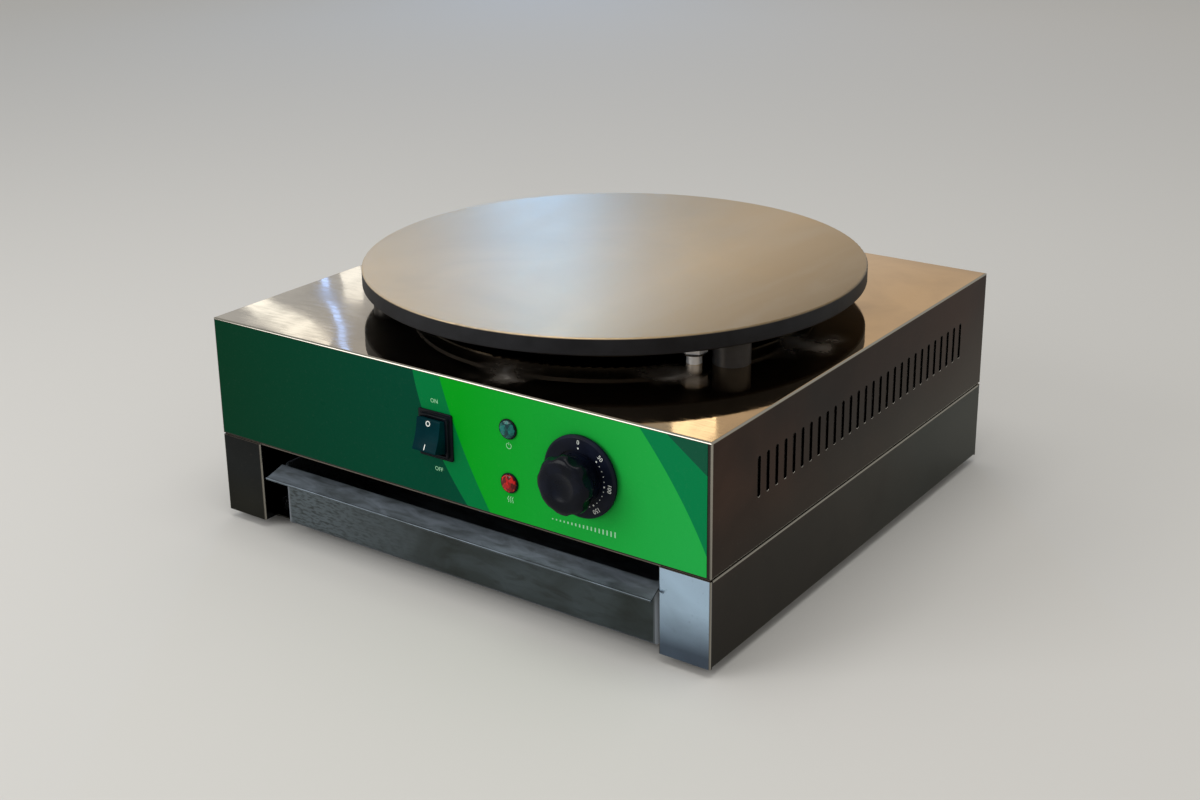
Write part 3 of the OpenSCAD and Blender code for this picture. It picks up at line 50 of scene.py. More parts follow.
def feed(tree, node, inputs):
    """Give a node's inputs plain values, or the outputs of other nodes."""
    for key, value in inputs.items():
        if isinstance(value, bpy.types.NodeSocket):
            tree.links.new(value, node.inputs[key])
        else:
            node.inputs[key].default_value = value


def add(tree, kind, inputs=None, **settings):
    """A new node in a tree, with its settings and its inputs."""
    made = tree.nodes.new(kind)
    for key, value in settings.items():
        setattr(made, key, value)
    feed(tree, made, inputs or {})
    return made


def new_finish(name):
    """A new material, with its node tree and its shader."""
    finish = bpy.data.materials.new(name)
    finish.use_nodes = True
    return finish, finish.node_tree, finish.node_tree.nodes["Principled BSDF"]


def rgb(red, green, blue):
    """A colour as the eye reads it, 0 to 255, in the linear values that a shader takes."""
    def linear(c):
        c = c / 255
        return c / 12.92 if c <= 0.04045 else ((c + 0.055) / 1.055) ** 2.4
    return (linear(red), linear(green), linear(blue), 1.0)


def stand(name, data):
    """A new object in the scene, at the origin."""
    made = bpy.data.objects.new(name, data)
    bpy.context.scene.collection.objects.link(made)
    return made


floor_half = 6.0
floor_mesh = bpy.data.meshes.new("studio_floor")
floor_corners = [(-floor_half, -floor_half, 0), (floor_half, -floor_half, 0),
                 (floor_half, floor_half, 0), (-floor_half, floor_half, 0)]
floor_mesh.from_pydata(floor_corners, [], [(0, 1, 2, 3)])
floor_finish, tree, shader = new_finish("pale_floor")
feed(tree, shader, {"Base Color": rgb(198, 197, 194), "Roughness": 0.9,
                    "Specular IOR Level": 0.2})
floor_mesh.materials.append(floor_finish)
studio_floor = stand("studio_floor", floor_mesh)

surround = bpy.data.worlds.new("surround")
surround.use_nodes = True
feed(surround.node_tree, surround.node_tree.nodes["Background"],
     {"Color": rgb(238, 236, 232), "Strength": 0.72})
bpy.context.scene.world = surround
lamp_aim = Vector((0, 0, 0.2))


def soft_lamp(name, place, size, power, colour, upright=(0, 0, 1)):
    """A soft lamp that faces the object, its second side upright. It lights but isn't seen."""
    data = bpy.data.lights.new(name, "AREA")
    data.shape = "RECTANGLE"
    data.size, data.size_y = size
    data.energy = power
    data.color = colour
    lamp = stand(name, data)
    back = (Vector(place) - lamp_aim).normalized()
    across = Vector(upright).cross(back).normalized()
    turn = Matrix((across, back.cross(across), back)).transposed().to_4x4()
    lamp.matrix_world = Matrix.Translation(place) @ turn
    lamp.visible_camera = False


soft_lamp("overhead", (0.1, -0.3, 1.9), (1.5, 1.2), 15, (1.0, 0.98, 0.95), (0, 1, 0))
soft_lamp("front", (-1.2, -2.0, 1.1), (1.4, 1.4), 26, (1.0, 1.0, 1.0))
soft_lamp("window", (-1.90, 2.41, 1.15), (0.09, 1.5), 4.6, (0.2, 0.5, 1.0))
soft_lamp("warm_room", (-0.99, 2.75, 1.12), (1.0, 1.2), 1.0, (1.0, 0.64, 0.28))
soft_lamp("glint", (-1.28, 2.17, 1.31), (0.1, 0.1), 0.07, (1.0, 0.92, 0.72))
soft_lamp("cream_streak", (-2.234, 1.779, 1.11), (0.05, 0.24), 0.045, (1.0, 0.97, 0.86),
          (0.185, 0.027, 0.064))
soft_lamp("blue_streak", (-2.16, 1.872, 1.105), (0.016, 0.26), 0.024, (0.25, 0.46, 1.0),
          (0.168, -0.087, 0.097))
soft_lamp("cream_spot", (-2.186, 1.963, 1.058), (0.05, 0.09), 0.014, (1.0, 0.97, 0.88))

# ---- Camera ----
# The photograph's own place, found from the corners of the body and the edge of the plate. Its
# axis meets the picture above the middle, so the lens is shifted.
camera_data = bpy.data.cameras.new("camera")
camera = stand("camera", camera_data)
bpy.context.scene.camera = camera
camera_azimuth = math.radians(35.3441)
camera_elevation = math.radians(18.7114)
camera_roll = math.radians(-0.6762)
camera_distance = 1.36917
camera_aim = Vector((-0.012525, 0.00125, 0.145387))
focal_pixels = 1689.168
axis_row = 320
image_width, image_height = 1200, 800
ahead = -Vector((math.sin(camera_azimuth) * math.cos(camera_elevation),
                 -math.cos(camera_azimuth) * math.cos(camera_elevation),
                 math.sin(camera_elevation)))
level_right = ahead.cross(Vector((0, 0, 1))).normalized()
level_up = level_right.cross(ahead)
right = level_right * math.cos(camera_roll) + level_up * math.sin(camera_roll)
up = -level_right * math.sin(camera_roll) + level_up * math.cos(camera_roll)
eye = camera_aim - ahead * camera_distance
camera.matrix_world = Matrix(((right.x, up.x, -ahead.x, eye.x),
                              (right.y, up.y, -ahead.y, eye.y),
                              (right.z, up.z, -ahead.z, eye.z),
                              (0, 0, 0, 1)))
camera_data.sensor_width = 36
camera_data.lens = focal_pixels / image_width * camera_data.sensor_width
camera_data.shift_y = (axis_row - image_height / 2) / image_width
camera_data.clip_start, camera_data.clip_end = 0.05, 30

# ---- Lower frame ----
# Two side panels and a rear panel, folded from polished stainless sheet, with guides for the
# drawer. The sheet keeps faint rolling lines, slow waves and the haze left by wiping. Its tints and
# bright bends are painted reflections and highlights.


def place_on(tree):
    """Where a point lies on the object, in metres."""
    return add(tree, "ShaderNodeTexCoord").outputs["Object"]


def split(tree, vector):
    """The parts of a vector along X, Y and Z."""
    return add(tree, "ShaderNodeSeparateXYZ", {0: vector}).outputs


def reckon(tree, operation, *values):
    """A number worked out from others."""
    return add(tree, "ShaderNodeMath", dict(enumerate(values)), operation=operation).outputs[0]


def grain(tree, scale, detail=3.0, stretch=(1, 1, 1), distortion=0.0):
    """Noise over the object, in repeats per metre, stretched along X, Y and Z."""
    where = add(tree, "ShaderNodeMapping", {"Vector": place_on(tree), "Scale": stretch}).outputs[0]
    return add(tree, "ShaderNodeTexNoise",
               {"Vector": where, "Scale": scale, "Detail": detail,
                "Distortion": distortion}).outputs[0]


def level(tree, factor, low, high, start=0.3, end=0.7):
    """A number that goes from low to high as the factor goes from start to end."""
    return add(tree, "ShaderNodeMapRange",
               {"Value": factor, "From Min": start, "From Max": end,
                "To Min": low, "To Max": high}).outputs[0]


def mixed(tree, factor, first, second, blend="MIX"):
    """A colour between two others, or the first one tinted by the second."""
    return add(tree, "ShaderNodeMix", {0: factor, 6: first, 7: second},
               data_type="RGBA", blend_type=blend).outputs[2]


def relief(tree, shader, *layers):
    """Raise the surface by one height after another, each with its depth in metres."""
    normal = None
    for height, depth in layers:
        inputs = {"Height": height, "Distance": depth, "Strength": 1.0}
        if normal:
            inputs["Normal"] = normal
        normal = add(tree, "ShaderNodeBump", inputs).outputs[0]
    feed(tree, shader, {"Normal": normal})


def along(tree, axis, low, high):
    """How far a point lies from low to high along an axis of the object, 0 to 1."""
    return level(tree, split(tree, place_on(tree))[axis], 0, 1, low, high)


def facing(tree):
    """How much a face looks along X, Y and Z, and one where it lies on a bend."""
    normal = add(tree, "ShaderNodeNewGeometry").outputs["True Normal"]
    looks = split(tree, add(tree, "ShaderNodeVectorMath", {0: normal},
                            operation="ABSOLUTE").outputs[0])
    most = reckon(tree, "MAXIMUM", reckon(tree, "MAXIMUM", looks["X"], looks["Y"]), looks["Z"])
    return looks, level(tree, most, 1, 0, 0.94, 0.99)


def polished_sheet(name, top, side, front, gloss, haze, rolled):
    """Stainless sheet: rolling lines along one axis, slow waves, and wiped haze.

    A top has one painted reflection tint at the left and one at the right, a side one at the front
    and one at the rear, and a front one below and one above. The sides also get painted brown
    reflection patches and a painted darker, cooler reflection lower down. A rear is grey, and bends
    carry a painted highlight, kept dark on low bends that don't face along X."""
    finish, tree, shader = new_finish(name)
    wiped = grain(tree, 11, 4.0, distortion=0.8)
    lines = grain(tree, 60, 3.0, stretch=rolled)
    specks = grain(tree, 420, 2.0)
    looks, bend = facing(tree)
    below = along(tree, "Z", 0.15, 0.06)
    top_tint = mixed(tree, along(tree, "X", -0.2, 0.2), *top)
    side_tint = mixed(tree, along(tree, "Y", -0.2, 0.2), *side)
    # Painted reflection on the sides: soft brown patches, and darker and cooler lower down.
    brown_reflection = level(tree, grain(tree, 6, 2.0), 0, 0.5, 0.45, 0.65)
    side_tint = mixed(tree, brown_reflection, side_tint, rgb(104, 68, 50))
    side_tint = mixed(tree, below, side_tint, rgb(138, 148, 158), "MULTIPLY")
    front_tint = mixed(tree, along(tree, "Z", 0.015, 0.045), *front)
    front_tint = mixed(tree, along(tree, "Y", 0.0, 0.1), front_tint, rgb(126, 120, 113))
    tint = mixed(tree, looks["Y"], mixed(tree, looks["Z"], side_tint, top_tint), front_tint)
    dulled = mixed(tree, 1.0, tint, rgb(216, 214, 212), "MULTIPLY")
    tint = mixed(tree, level(tree, wiped, 0.0, 1.0, 0.35, 0.68), tint, dulled)
    tint = mixed(tree, level(tree, specks, 0.0, 0.15, 0.66, 0.74), tint, rgb(90, 84, 76))
    # Painted highlight on the bends, kept dark on low bends that don't face along X.
    bend_highlight = rgb(160, 156, 146)
    low_bend = mixed(tree, looks["X"], rgb(52, 48, 45), bend_highlight)
    bend_tint = mixed(tree, along(tree, "Z", 0.08, 0.15), low_bend, bend_highlight)
    glance = mixed(tree, below, rgb(208, 219, 222), rgb(244, 246, 242))
    hazed = level(tree, wiped, gloss, haze, 0.42, 0.7)
    feed(tree, shader, {
        "Metallic": 1.0,
        "Base Color": mixed(tree, bend, tint, bend_tint),
        "Specular Tint": mixed(tree, looks["Z"], glance, rgb(255, 255, 255)),
        "Roughness": reckon(tree, "ADD", hazed, level(tree, lines, -0.02, 0.03))})
    relief(tree, shader, (grain(tree, 6, 1.0), 0.0014), (lines, 0.000002))
    return finish, tree, shader


def wear(finish, *nodes):
    """Give CAD nodes' own meshes a finish."""
    for node in nodes:
        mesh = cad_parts[node].data
        mesh.materials.clear()
        mesh.materials.append(finish)


along_the_sides = (8, 1, 8)
along_the_front = (1, 8, 8)
# The side tints and the legs' front tints are painted reflections: the right leg's front is bright
# and bluish, lighter upward, and the left leg's front is dark.
dark_sides = (rgb(72, 70, 68), rgb(62, 55, 49))
shaded_leg_reflection = (rgb(46, 46, 42), rgb(38, 40, 41))
lit_leg_reflection = (rgb(96, 110, 128), rgb(198, 226, 255))
for node, leg in (("left_side_panel", shaded_leg_reflection), ("right_side_panel", lit_leg_reflection)):
    wear(polished_sheet(node + "_sheet", dark_sides, dark_sides, leg, 0.1, 0.24,
                        along_the_sides)[0], node)
mid_greys = (rgb(132, 128, 124), rgb(124, 116, 108))
plain_sheet = polished_sheet("plain_sheet", mid_greys, mid_greys, mid_greys, 0.14, 0.3,
                             along_the_front)[0]
wear(plain_sheet, "rear_panel", "drawer_guides")

# ---- Screws, nuts and washers ----
# Zinc-plated pan-head screws with a cross recess hold the rear panel, the feet, the housing and
# the thermostat. The nuts are plain hexagons. Plating leaves a faint blue cast.


def new_tree(name, sockets):
    """A Geometry Nodes tree with named inputs. Gives the tree, its inputs and its result."""
    tree = bpy.data.node_groups.new(name, "GeometryNodeTree")
    tree.interface.new_socket("Geometry", in_out="INPUT", socket_type="NodeSocketGeometry")
    for label, kind in sockets:
        tree.interface.new_socket(label, in_out="INPUT", socket_type="NodeSocket" + kind)
    tree.interface.new_socket("Geometry", in_out="OUTPUT", socket_type="NodeSocketGeometry")
    return tree, tree.nodes.new("NodeGroupInput").outputs, tree.nodes.new("NodeGroupOutput").inputs


def finish_tree(tree, instances, given, result):
    """End a tree as every tree here ends: real meshes with their material."""
    real = add(tree, "GeometryNodeRealizeInstances", {"Geometry": instances}).outputs[0]
    dressed = add(tree, "GeometryNodeSetMaterial",
                  {"Geometry": real, "Material": given["Finish"]}).outputs[0]
    tree.links.new(dressed, result["Geometry"])


def made_plain(holder):
    """The mesh that an object shows, as a plain one. The object itself is thrown away."""
    bpy.context.view_layer.update()
    shown = holder.evaluated_get(bpy.context.evaluated_depsgraph_get())
    mesh = bpy.data.meshes.new_from_object(shown)
    bpy.data.objects.remove(holder)
    return mesh


def grow(name, tree, places, **values):
    """Run a tree on points and keep the result as a plain mesh."""
    seed_mesh = bpy.data.meshes.new(name)
    seed_mesh.from_pydata([Vector(p) for p in places], [], [])
    seed = stand(name + "_seed", seed_mesh)
    modifier = seed.modifiers.new("grow", "NODES")
    modifier.node_group = tree
    for socket in tree.interface.items_tree:
        key = socket.name.lower().replace(" ", "_")
        if socket.in_out == "INPUT" and key in values:
            modifier[socket.identifier] = values[key]
    return made_plain(seed)


def put(name, mesh, body, slot, *stands_for):
    """Put a finished mesh on the object as a piece of its own."""
    piece = stand(name, mesh)
    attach(piece, body)
    if stands_for:
        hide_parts(*stands_for)


def solids(node):
    """The separate solids of a CAD node, each as its lowest and highest corner."""
    shell = bmesh.new()
    shell.from_mesh(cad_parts[node].data)
    bmesh.ops.remove_doubles(shell, verts=shell.verts, dist=1e-6)
    found = []
    for start in shell.verts:
        if start.tag:
            continue
        start.tag = True
        group, waiting = [], [start]
        while waiting:
            vert = waiting.pop()
            group.append(vert.co.copy())
            for edge in vert.link_edges:
                other = edge.other_vert(vert)
                if not other.tag:
                    other.tag = True
                    waiting.append(other)
        found.append((Vector([min(co[i] for co in group) for i in range(3)]),
                      Vector([max(co[i] for co in group) for i in range(3)])))
    shell.free()
    return found


def plated(name, colour, cast, roughness, metallic=1.0):
    """Bright plating with a slight cast and fine turning marks."""
    finish, tree, shader = new_finish(name)
    feed(tree, shader, {
        "Metallic": metallic,
        "Base Color": mixed(tree, level(tree, grain(tree, 130, 2.0), 0, 1), colour, cast),
        "Roughness": level(tree, grain(tree, 500), roughness, roughness + 0.16)})
    relief(tree, shader, (grain(tree, 900, 1.0), 0.00002))
    return finish


zinc = plated("zinc_plate", rgb(206, 206, 202), rgb(188, 190, 200), 0.2)
wear(zinc, "foot_nuts", "housing_nuts", "plate_bolts", "plate_washers", "clamp_studs",
     "clamp_nuts", "thermostat_shaft")

screw_tree, given, result = new_tree("pan_head_screw", [
    ("Head", "Float"), ("Rise", "Float"), ("Shank", "Float"), ("Length", "Float"),
    ("Turn", "Vector"), ("Finish", "Material")])


def share(tree, value, factor):
    """A size as a share of another."""
    return reckon(tree, "MULTIPLY", value, factor)


def lifted(tree, geometry, height):
    """Geometry moved up by a height."""
    place = add(tree, "ShaderNodeCombineXYZ", {"Z": height}).outputs[0]
    return add(tree, "GeometryNodeTransform",
               {"Geometry": geometry, "Translation": place}).outputs[0]


skirt = add(screw_tree, "GeometryNodeMeshCone",
            {"Vertices": 28, "Radius Bottom": share(screw_tree, given["Head"], 0.5),
             "Radius Top": share(screw_tree, given["Head"], 0.46),
             "Depth": share(screw_tree, given["Rise"], 0.6)}).outputs[0]
crown = add(screw_tree, "GeometryNodeMeshCone",
            {"Vertices": 28, "Radius Bottom": share(screw_tree, given["Head"], 0.46),
             "Radius Top": share(screw_tree, given["Head"], 0.32),
             "Depth": share(screw_tree, given["Rise"], 0.4)}).outputs[0]
crown = lifted(screw_tree, crown, share(screw_tree, given["Rise"], 0.6))
shank = add(screw_tree, "GeometryNodeMeshCylinder",
            {"Vertices": 20, "Radius": share(screw_tree, given["Shank"], 0.5),
             "Depth": given["Length"]}).outputs[0]
shank = lifted(screw_tree, shank, share(screw_tree, given["Length"], -0.5))
arms = []
for long, wide in ((0.62, 0.13), (0.13, 0.62)):
    arm_size = add(screw_tree, "ShaderNodeCombineXYZ",
                   {"X": share(screw_tree, given["Head"], long),
                    "Y": share(screw_tree, given["Head"], wide),
                    "Z": given["Rise"]}).outputs[0]
    arm = add(screw_tree, "GeometryNodeMeshCube", {"Size": arm_size}).outputs[0]
    arms.append(lifted(screw_tree, arm, given["Rise"]))
whole = add(screw_tree, "GeometryNodeMeshBoolean", {"Mesh 2": skirt}, operation="UNION")
for part in (crown, shank):
    feed(screw_tree, whole, {"Mesh 2": part})
cut = add(screw_tree, "GeometryNodeMeshBoolean",
          {"Mesh 1": whole.outputs[0], "Mesh 2": arms[0]}, operation="DIFFERENCE")
feed(screw_tree, cut, {"Mesh 2": arms[1]})
screws = add(screw_tree, "GeometryNodeInstanceOnPoints",
             {"Points": given["Geometry"], "Instance": cut.outputs[0],
              "Rotation": given["Turn"]}).outputs[0]
finish_tree(screw_tree, screws, given, result)

# The way that each head looks, and how high it stands.
head_turns = {"down": (math.pi, 0.0, 0.0), "rear": (-math.pi / 2, 0.0, 0.0),
              "front": (math.pi / 2, 0.0, 0.0)}
screw_heads = {"rear_panel_screws": ("rear", 0.0024), "foot_screws": ("down", 0.0025),
               "housing_screws": ("down", 0.0024), "thermostat_screws": ("front", 0.0012)}
for node, (face, rise) in screw_heads.items():
    seats = []
    for low, high in solids(node):
        middle = (low + high) / 2
        head = high.x - low.x
        if face == "down":
            length = high.z - low.z - rise
            seats.append((middle.x, middle.y, low.z + rise))
        else:
            length = high.y - low.y - rise
            seat_y = high.y - rise if face == "rear" else low.y + rise
            seats.append((middle.x, seat_y, middle.z))
    mesh = grow(node + "_crossed", screw_tree, seats, head=head, rise=rise, shank=head / 2,
                length=length, turn=head_turns[face], finish=zinc)
    put(node + "_crossed", mesh, "chassis", "zinc", node)

# ---- Feet ----
# Four moulded rubber feet under the lower frame. Each has a recess for the screw that holds it,
# and the screw's nut sits on the ledge of the side panel.


def moulded(name, colour, scuff, roughness, pores, sheen=0.5):
    """A moulded surface: fine pores or spark texture, and rubbed patches."""
    finish, tree, shader = new_finish(name)
    rubbing_and_sheen = grain(tree, 45, 4.0)
    feed(tree, shader, {
        "Specular IOR Level": sheen,
        "Base Color": mixed(tree, level(tree, rubbing_and_sheen, 0, 1, 0.45, 0.75), colour, scuff),
        "Roughness": level(tree, rubbing_and_sheen, roughness, roughness + 0.14)})
    relief(tree, shader, (grain(tree, 1600, 2.0), pores))
    return finish


rubber = moulded("foot_rubber", rgb(30, 30, 31), rgb(46, 45, 44), 0.7, 0.00006, 0.3)
wear(rubber, "rubber_feet", "gland_seal")

# ---- Drip drawer ----
# A shallow drawer of thin steel with round corners and a lip that droops to the front. Years of
# grease and wiping have left it dull, with pale patches and dark smears, most at the left. Its bent
# corners carry a painted highlight.
drawer_steel, tree, shader = new_finish("drawer_steel")
patches = grain(tree, 26, 6.0, stretch=(0.6, 1, 1.2), distortion=0.8)
smears = grain(tree, 170, 5.0, stretch=(0.25, 1, 1), distortion=0.6)
mottle = grain(tree, 560, 6.0, stretch=(0.28, 1, 1.0), distortion=0.2)
looks, bend = facing(tree)
dulled = mixed(tree, level(tree, patches, 0, 1, 0.38, 0.66), rgb(50, 56, 55), rgb(70, 79, 82))
smeared = mixed(tree, level(tree, smears, 0, 0.5, 0.5, 0.7), dulled, rgb(44, 47, 45))
left_end = along(tree, "X", 0.0, -0.13)
pale = mixed(tree, level(tree, left_end, 0, 0.8, 0, 1), smeared, rgb(98, 108, 114))
blotched = reckon(tree, "MULTIPLY", level(tree, mottle, 0, 0.75, 0.46, 0.64), left_end)
mottled = mixed(tree, blotched, pale, rgb(44, 48, 46))
# Painted highlight on the bent corners that don't face up or down, made less metallic so the front
# lamp lights it.
corner = reckon(tree, "MULTIPLY", bend, level(tree, looks["Z"], 1, 0, 0.05, 0.2))
rubbing_and_sheen = mixed(tree, corner, mottled, rgb(118, 125, 133))
lip_tint = mixed(tree, level(tree, smears, 0, 1, 0.35, 0.65), rgb(72, 79, 84), rgb(102, 111, 121))
feed(tree, shader, {
    "Base Color": mixed(tree, level(tree, looks["Z"], 0, 1, 0.2, 0.5), rubbing_and_sheen, lip_tint),
    "Metallic": level(tree, corner, 0.8, 0.2, 0, 1),
    "Roughness": level(tree, patches, 0.36, 0.56)})
relief(tree, shader, (smears, 0.00004), (grain(tree, 9, 1.0), 0.0007))
wear(drawer_steel, "drip_drawer")

# ---- Upper housing ----
# One deep box folded from polished sheet, closed below by a floor. A row of upright slots in
# each side lets the heat out. Each slot keeps the fine rolled edge that the punch leaves.
slot_count = 28
slot_pitch = 0.012
slot_width = 0.004
slot_height = 0.030
slot_edge = 0.00014
housing_low, housing_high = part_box("upper_housing")
slot_y = (housing_low.y + housing_high.y) / 2 + 0.005
slot_z = housing_low.z + 0.052
front_strip = (rgb(66, 62, 58), rgb(66, 62, 58))
# Painted reflections: the top goes from pale grey at the left to a warm golden tint at the right,
# and the sides from dark at the front to dark brown at the rear.
housing_sheet, tree, shader = polished_sheet(
    "housing_sheet", (rgb(198, 192, 182), rgb(174, 145, 102)), (rgb(40, 36, 33), rgb(78, 47, 31)),
    front_strip, 0.03, 0.09, along_the_front)
clean_tint = shader.inputs["Base Color"].links[0].from_socket
clean_gloss = shader.inputs["Roughness"].links[0].from_socket
where = place_on(tree)
ragged = add(tree, "ShaderNodeTexNoise",
             {"Vector": where, "Scale": 42.0, "Detail": 4.0}).outputs[1]
shifted = add(tree, "ShaderNodeVectorMath", {0: ragged, 1: (0.06, 0.06, 0.0), 2: where},
              operation="MULTIPLY_ADD").outputs[0]
# Three ragged smudges lie on the top, towards the front and the right.
smudged = 0.0
for place, size in (((0.215, 0.009, 0.1695), 0.034), ((0.071, -0.157, 0.1695), 0.030),
                    ((0.167, -0.093, 0.1695), 0.032)):
    away = add(tree, "ShaderNodeVectorMath", {0: shifted, 1: place},
               operation="DISTANCE").outputs["Value"]
    smudged = reckon(tree, "MAXIMUM", level(tree, away, 0.6, 0, 0, size), smudged)
tint = mixed(tree, smudged, clean_tint, rgb(214, 214, 214))
# The slots' inner walls are painted dark as shade.
by_slots = reckon(tree, "COMPARE", split(tree, where)["Y"], slot_y, slot_count * slot_pitch / 2)
in_slots = reckon(tree, "MULTIPLY", by_slots, facing(tree)[0]["Y"])
feed(tree, shader, {
    "Base Color": mixed(tree, in_slots, tint, rgb(30, 27, 25)),
    "Roughness": reckon(tree, "MULTIPLY_ADD", smudged, 0.7, clean_gloss)})
wear(housing_sheet, "upper_housing")
wear(plain_sheet, "housing_floor")

# The punched rims are dark, with a painted glint along the foot of each slot.
slot_rim, tree, shader = new_finish("slot_rim")
slot_foot = slot_z - slot_height / 2
foot_glint = along(tree, "Z", slot_foot + 0.0012, slot_foot)
feed(tree, shader, {
    "Metallic": 1.0,
    "Base Color": mixed(tree, foot_glint, rgb(46, 41, 38), rgb(236, 230, 220)),
    "Roughness": level(tree, grain(tree, 600), 0.2, 0.4)})

slot_tree, given, result = new_tree("punched_edges", [
    ("Count", "Int"), ("Pitch", "Float"), ("Width", "Float"), ("Height", "Float"),
    ("Edge", "Float"), ("Finish", "Material")])
outline = add(slot_tree, "GeometryNodeCurvePrimitiveQuadrilateral",
              {"Width": given["Width"], "Height": given["Height"]}).outputs[0]
outline = add(slot_tree, "GeometryNodeFilletCurve",
              {"Curve": outline, "Radius": share(slot_tree, given["Width"], 0.499),
               "Count": 7}, mode="POLY").outputs[0]
bead = add(slot_tree, "GeometryNodeCurvePrimitiveCircle",
           {"Resolution": 6, "Radius": given["Edge"]}).outputs["Curve"]
rim = add(slot_tree, "GeometryNodeCurveToMesh",
          {"Curve": outline, "Profile Curve": bead}).outputs[0]
upright = add(slot_tree, "GeometryNodeTransform",
              {"Geometry": rim, "Rotation": (math.pi / 2, 0, math.pi / 2)}).outputs[0]
pitch = add(slot_tree, "ShaderNodeCombineXYZ", {"Y": given["Pitch"]}).outputs[0]
steps = reckon(slot_tree, "SUBTRACT", given["Count"], 1)
row_length = reckon(slot_tree, "MULTIPLY", steps, given["Pitch"])
row_start = add(slot_tree, "ShaderNodeCombineXYZ",
                {"Y": share(slot_tree, row_length, -0.5)}).outputs[0]
row = add(slot_tree, "GeometryNodeMeshLine",
          {"Count": given["Count"], "Offset": pitch, "Start Location": row_start}).outputs[0]
one_row = add(slot_tree, "GeometryNodeInstanceOnPoints",
              {"Points": row, "Instance": upright}).outputs[0]
both_rows = add(slot_tree, "GeometryNodeInstanceOnPoints",
                {"Points": given["Geometry"], "Instance": one_row}).outputs[0]
finish_tree(slot_tree, both_rows, given, result)
slot_rows = [(x, slot_y, slot_z) for x in (housing_low.x, housing_high.x)]
slot_mesh = grow("slot_edges", slot_tree, slot_rows, count=slot_count, pitch=slot_pitch,
                 width=slot_width, height=slot_height, edge=slot_edge, finish=slot_rim)
put("slot_edges", slot_mesh, "chassis", "sheet_steel")

# ---- Front overlay ----
# A printed plastic film on the front of the housing: a light green field between darker bands
# whose edges sweep down to the right. It carries pale marks for the switch, lamps and dial.
overlay_low, overlay_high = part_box("front_overlay")
film, tree, shader = new_finish("printed_film")
spot = split(tree, place_on(tree))
drop = reckon(tree, "SUBTRACT", overlay_high.z, spot["Z"])
band_blur = 0.0002


def right_of_edge(start, lean, bend):
    """One where a point lies right of an edge that leaves the top at start and leans away."""
    slope = reckon(tree, "MULTIPLY_ADD", drop, bend, lean)
    edge = reckon(tree, "MULTIPLY_ADD", drop, slope, start)
    return level(tree, reckon(tree, "SUBTRACT", spot["X"], edge), 0, 1, -band_blur, band_blur)


field_green = rgb(2, 152, 26)
field_left = (0.0026, 0.30, 1.6)
field_right = (0.1718, 0.85, -2.4)
colour = mixed(tree, level(tree, spot["X"], 0, 1, -0.22, 0.02), rgb(0, 50, 30), rgb(0, 68, 48))
for paint, edge in ((rgb(0, 114, 58), (-0.0222, 0.17, 3.45)), (field_green, field_left),
                    (rgb(6, 122, 70), field_right), (rgb(22, 82, 60), (0.1933, 1.39, 0.0))):
    colour = mixed(tree, right_of_edge(*edge), colour, paint)
faded = mixed(tree, level(tree, spot["X"], 0, 1, 0.02, 0.21), field_green, rgb(34, 166, 72))
in_field = reckon(tree, "SUBTRACT", right_of_edge(*field_left), right_of_edge(*field_right))
colour = mixed(tree, in_field, colour, faded)
dust = level(tree, grain(tree, 700, 3.0), 0, 0.015, 0.6, 0.75)
feed(tree, shader, {
    "Base Color": mixed(tree, dust, colour, rgb(190, 205, 195)),
    "Specular IOR Level": 0.03,
    "Roughness": level(tree, grain(tree, 14, 3.0), 0.24, 0.36)})
relief(tree, shader, (grain(tree, 12, 1.0), 0.0004), (grain(tree, 2200, 1.0), 0.000004))
wear(film, "front_overlay")


def ink(name, colour, worn, most, start, end):
    """Printed ink that is thin in places."""
    finish, tree, shader = new_finish(name)
    thin = grain(tree, 1400, 2.0)
    feed(tree, shader, {
        "Base Color": mixed(tree, level(tree, thin, 0, most, start, end), colour, worn),
        "Roughness": 0.5})
    relief(tree, shader, (thin, 0.00001))
    return finish


white_ink = ink("white_ink", rgb(226, 230, 226), rgb(170, 190, 178), 0.4, 0.45, 0.75)
pale_ink = ink("pale_ink", rgb(160, 216, 176), rgb(80, 184, 108), 0.5, 0.4, 0.7)

ink_thickness = 0.00012
text_size_for_height = 1.42


def lettering(words, height):
    """Raised flat lettering about its own middle, facing up, as a plain mesh."""
    curve = bpy.data.curves.new(words, "FONT")
    curve.body = words
    curve.size = height * text_size_for_height
    curve.align_x, curve.align_y = "CENTER", "CENTER"
    curve.extrude = ink_thickness / 2
    curve.resolution_u = 4
    return made_plain(stand(words, curve))


def as_mesh(shape, name):
    """A mesh made of a shape that is ready."""
    mesh = bpy.data.meshes.new(name)
    shape.to_mesh(mesh)
    shape.free()
    return mesh


def strip(path, width, closed=False):
    """A flat raised line along points, facing up, as a plain mesh."""
    shape = bmesh.new()
    count = len(path)
    rails = []
    for i, point in enumerate(path):
        before = path[i - 1] if closed or i else point
        after = path[(i + 1) % count] if closed or i < count - 1 else point
        side = (Vector(after) - Vector(before)).normalized()
        side = Vector((-side.y, side.x)) * width / 2
        rails.append([shape.verts.new((point[0] + s * side.x, point[1] + s * side.y, z))
                      for s, z in ((-1, 0), (1, 0), (1, ink_thickness), (-1, ink_thickness))])
    for i in range(count if closed else count - 1):
        first, second = rails[i], rails[(i + 1) % count]
        for k in range(4):
            shape.faces.new((first[k], second[k], second[k - 3], first[k - 3]))
    if not closed:
        shape.faces.new(rails[0])
        shape.faces.new(rails[-1][::-1])
    bmesh.ops.recalc_face_normals(shape, faces=shape.faces)
    return as_mesh(shape, "line")


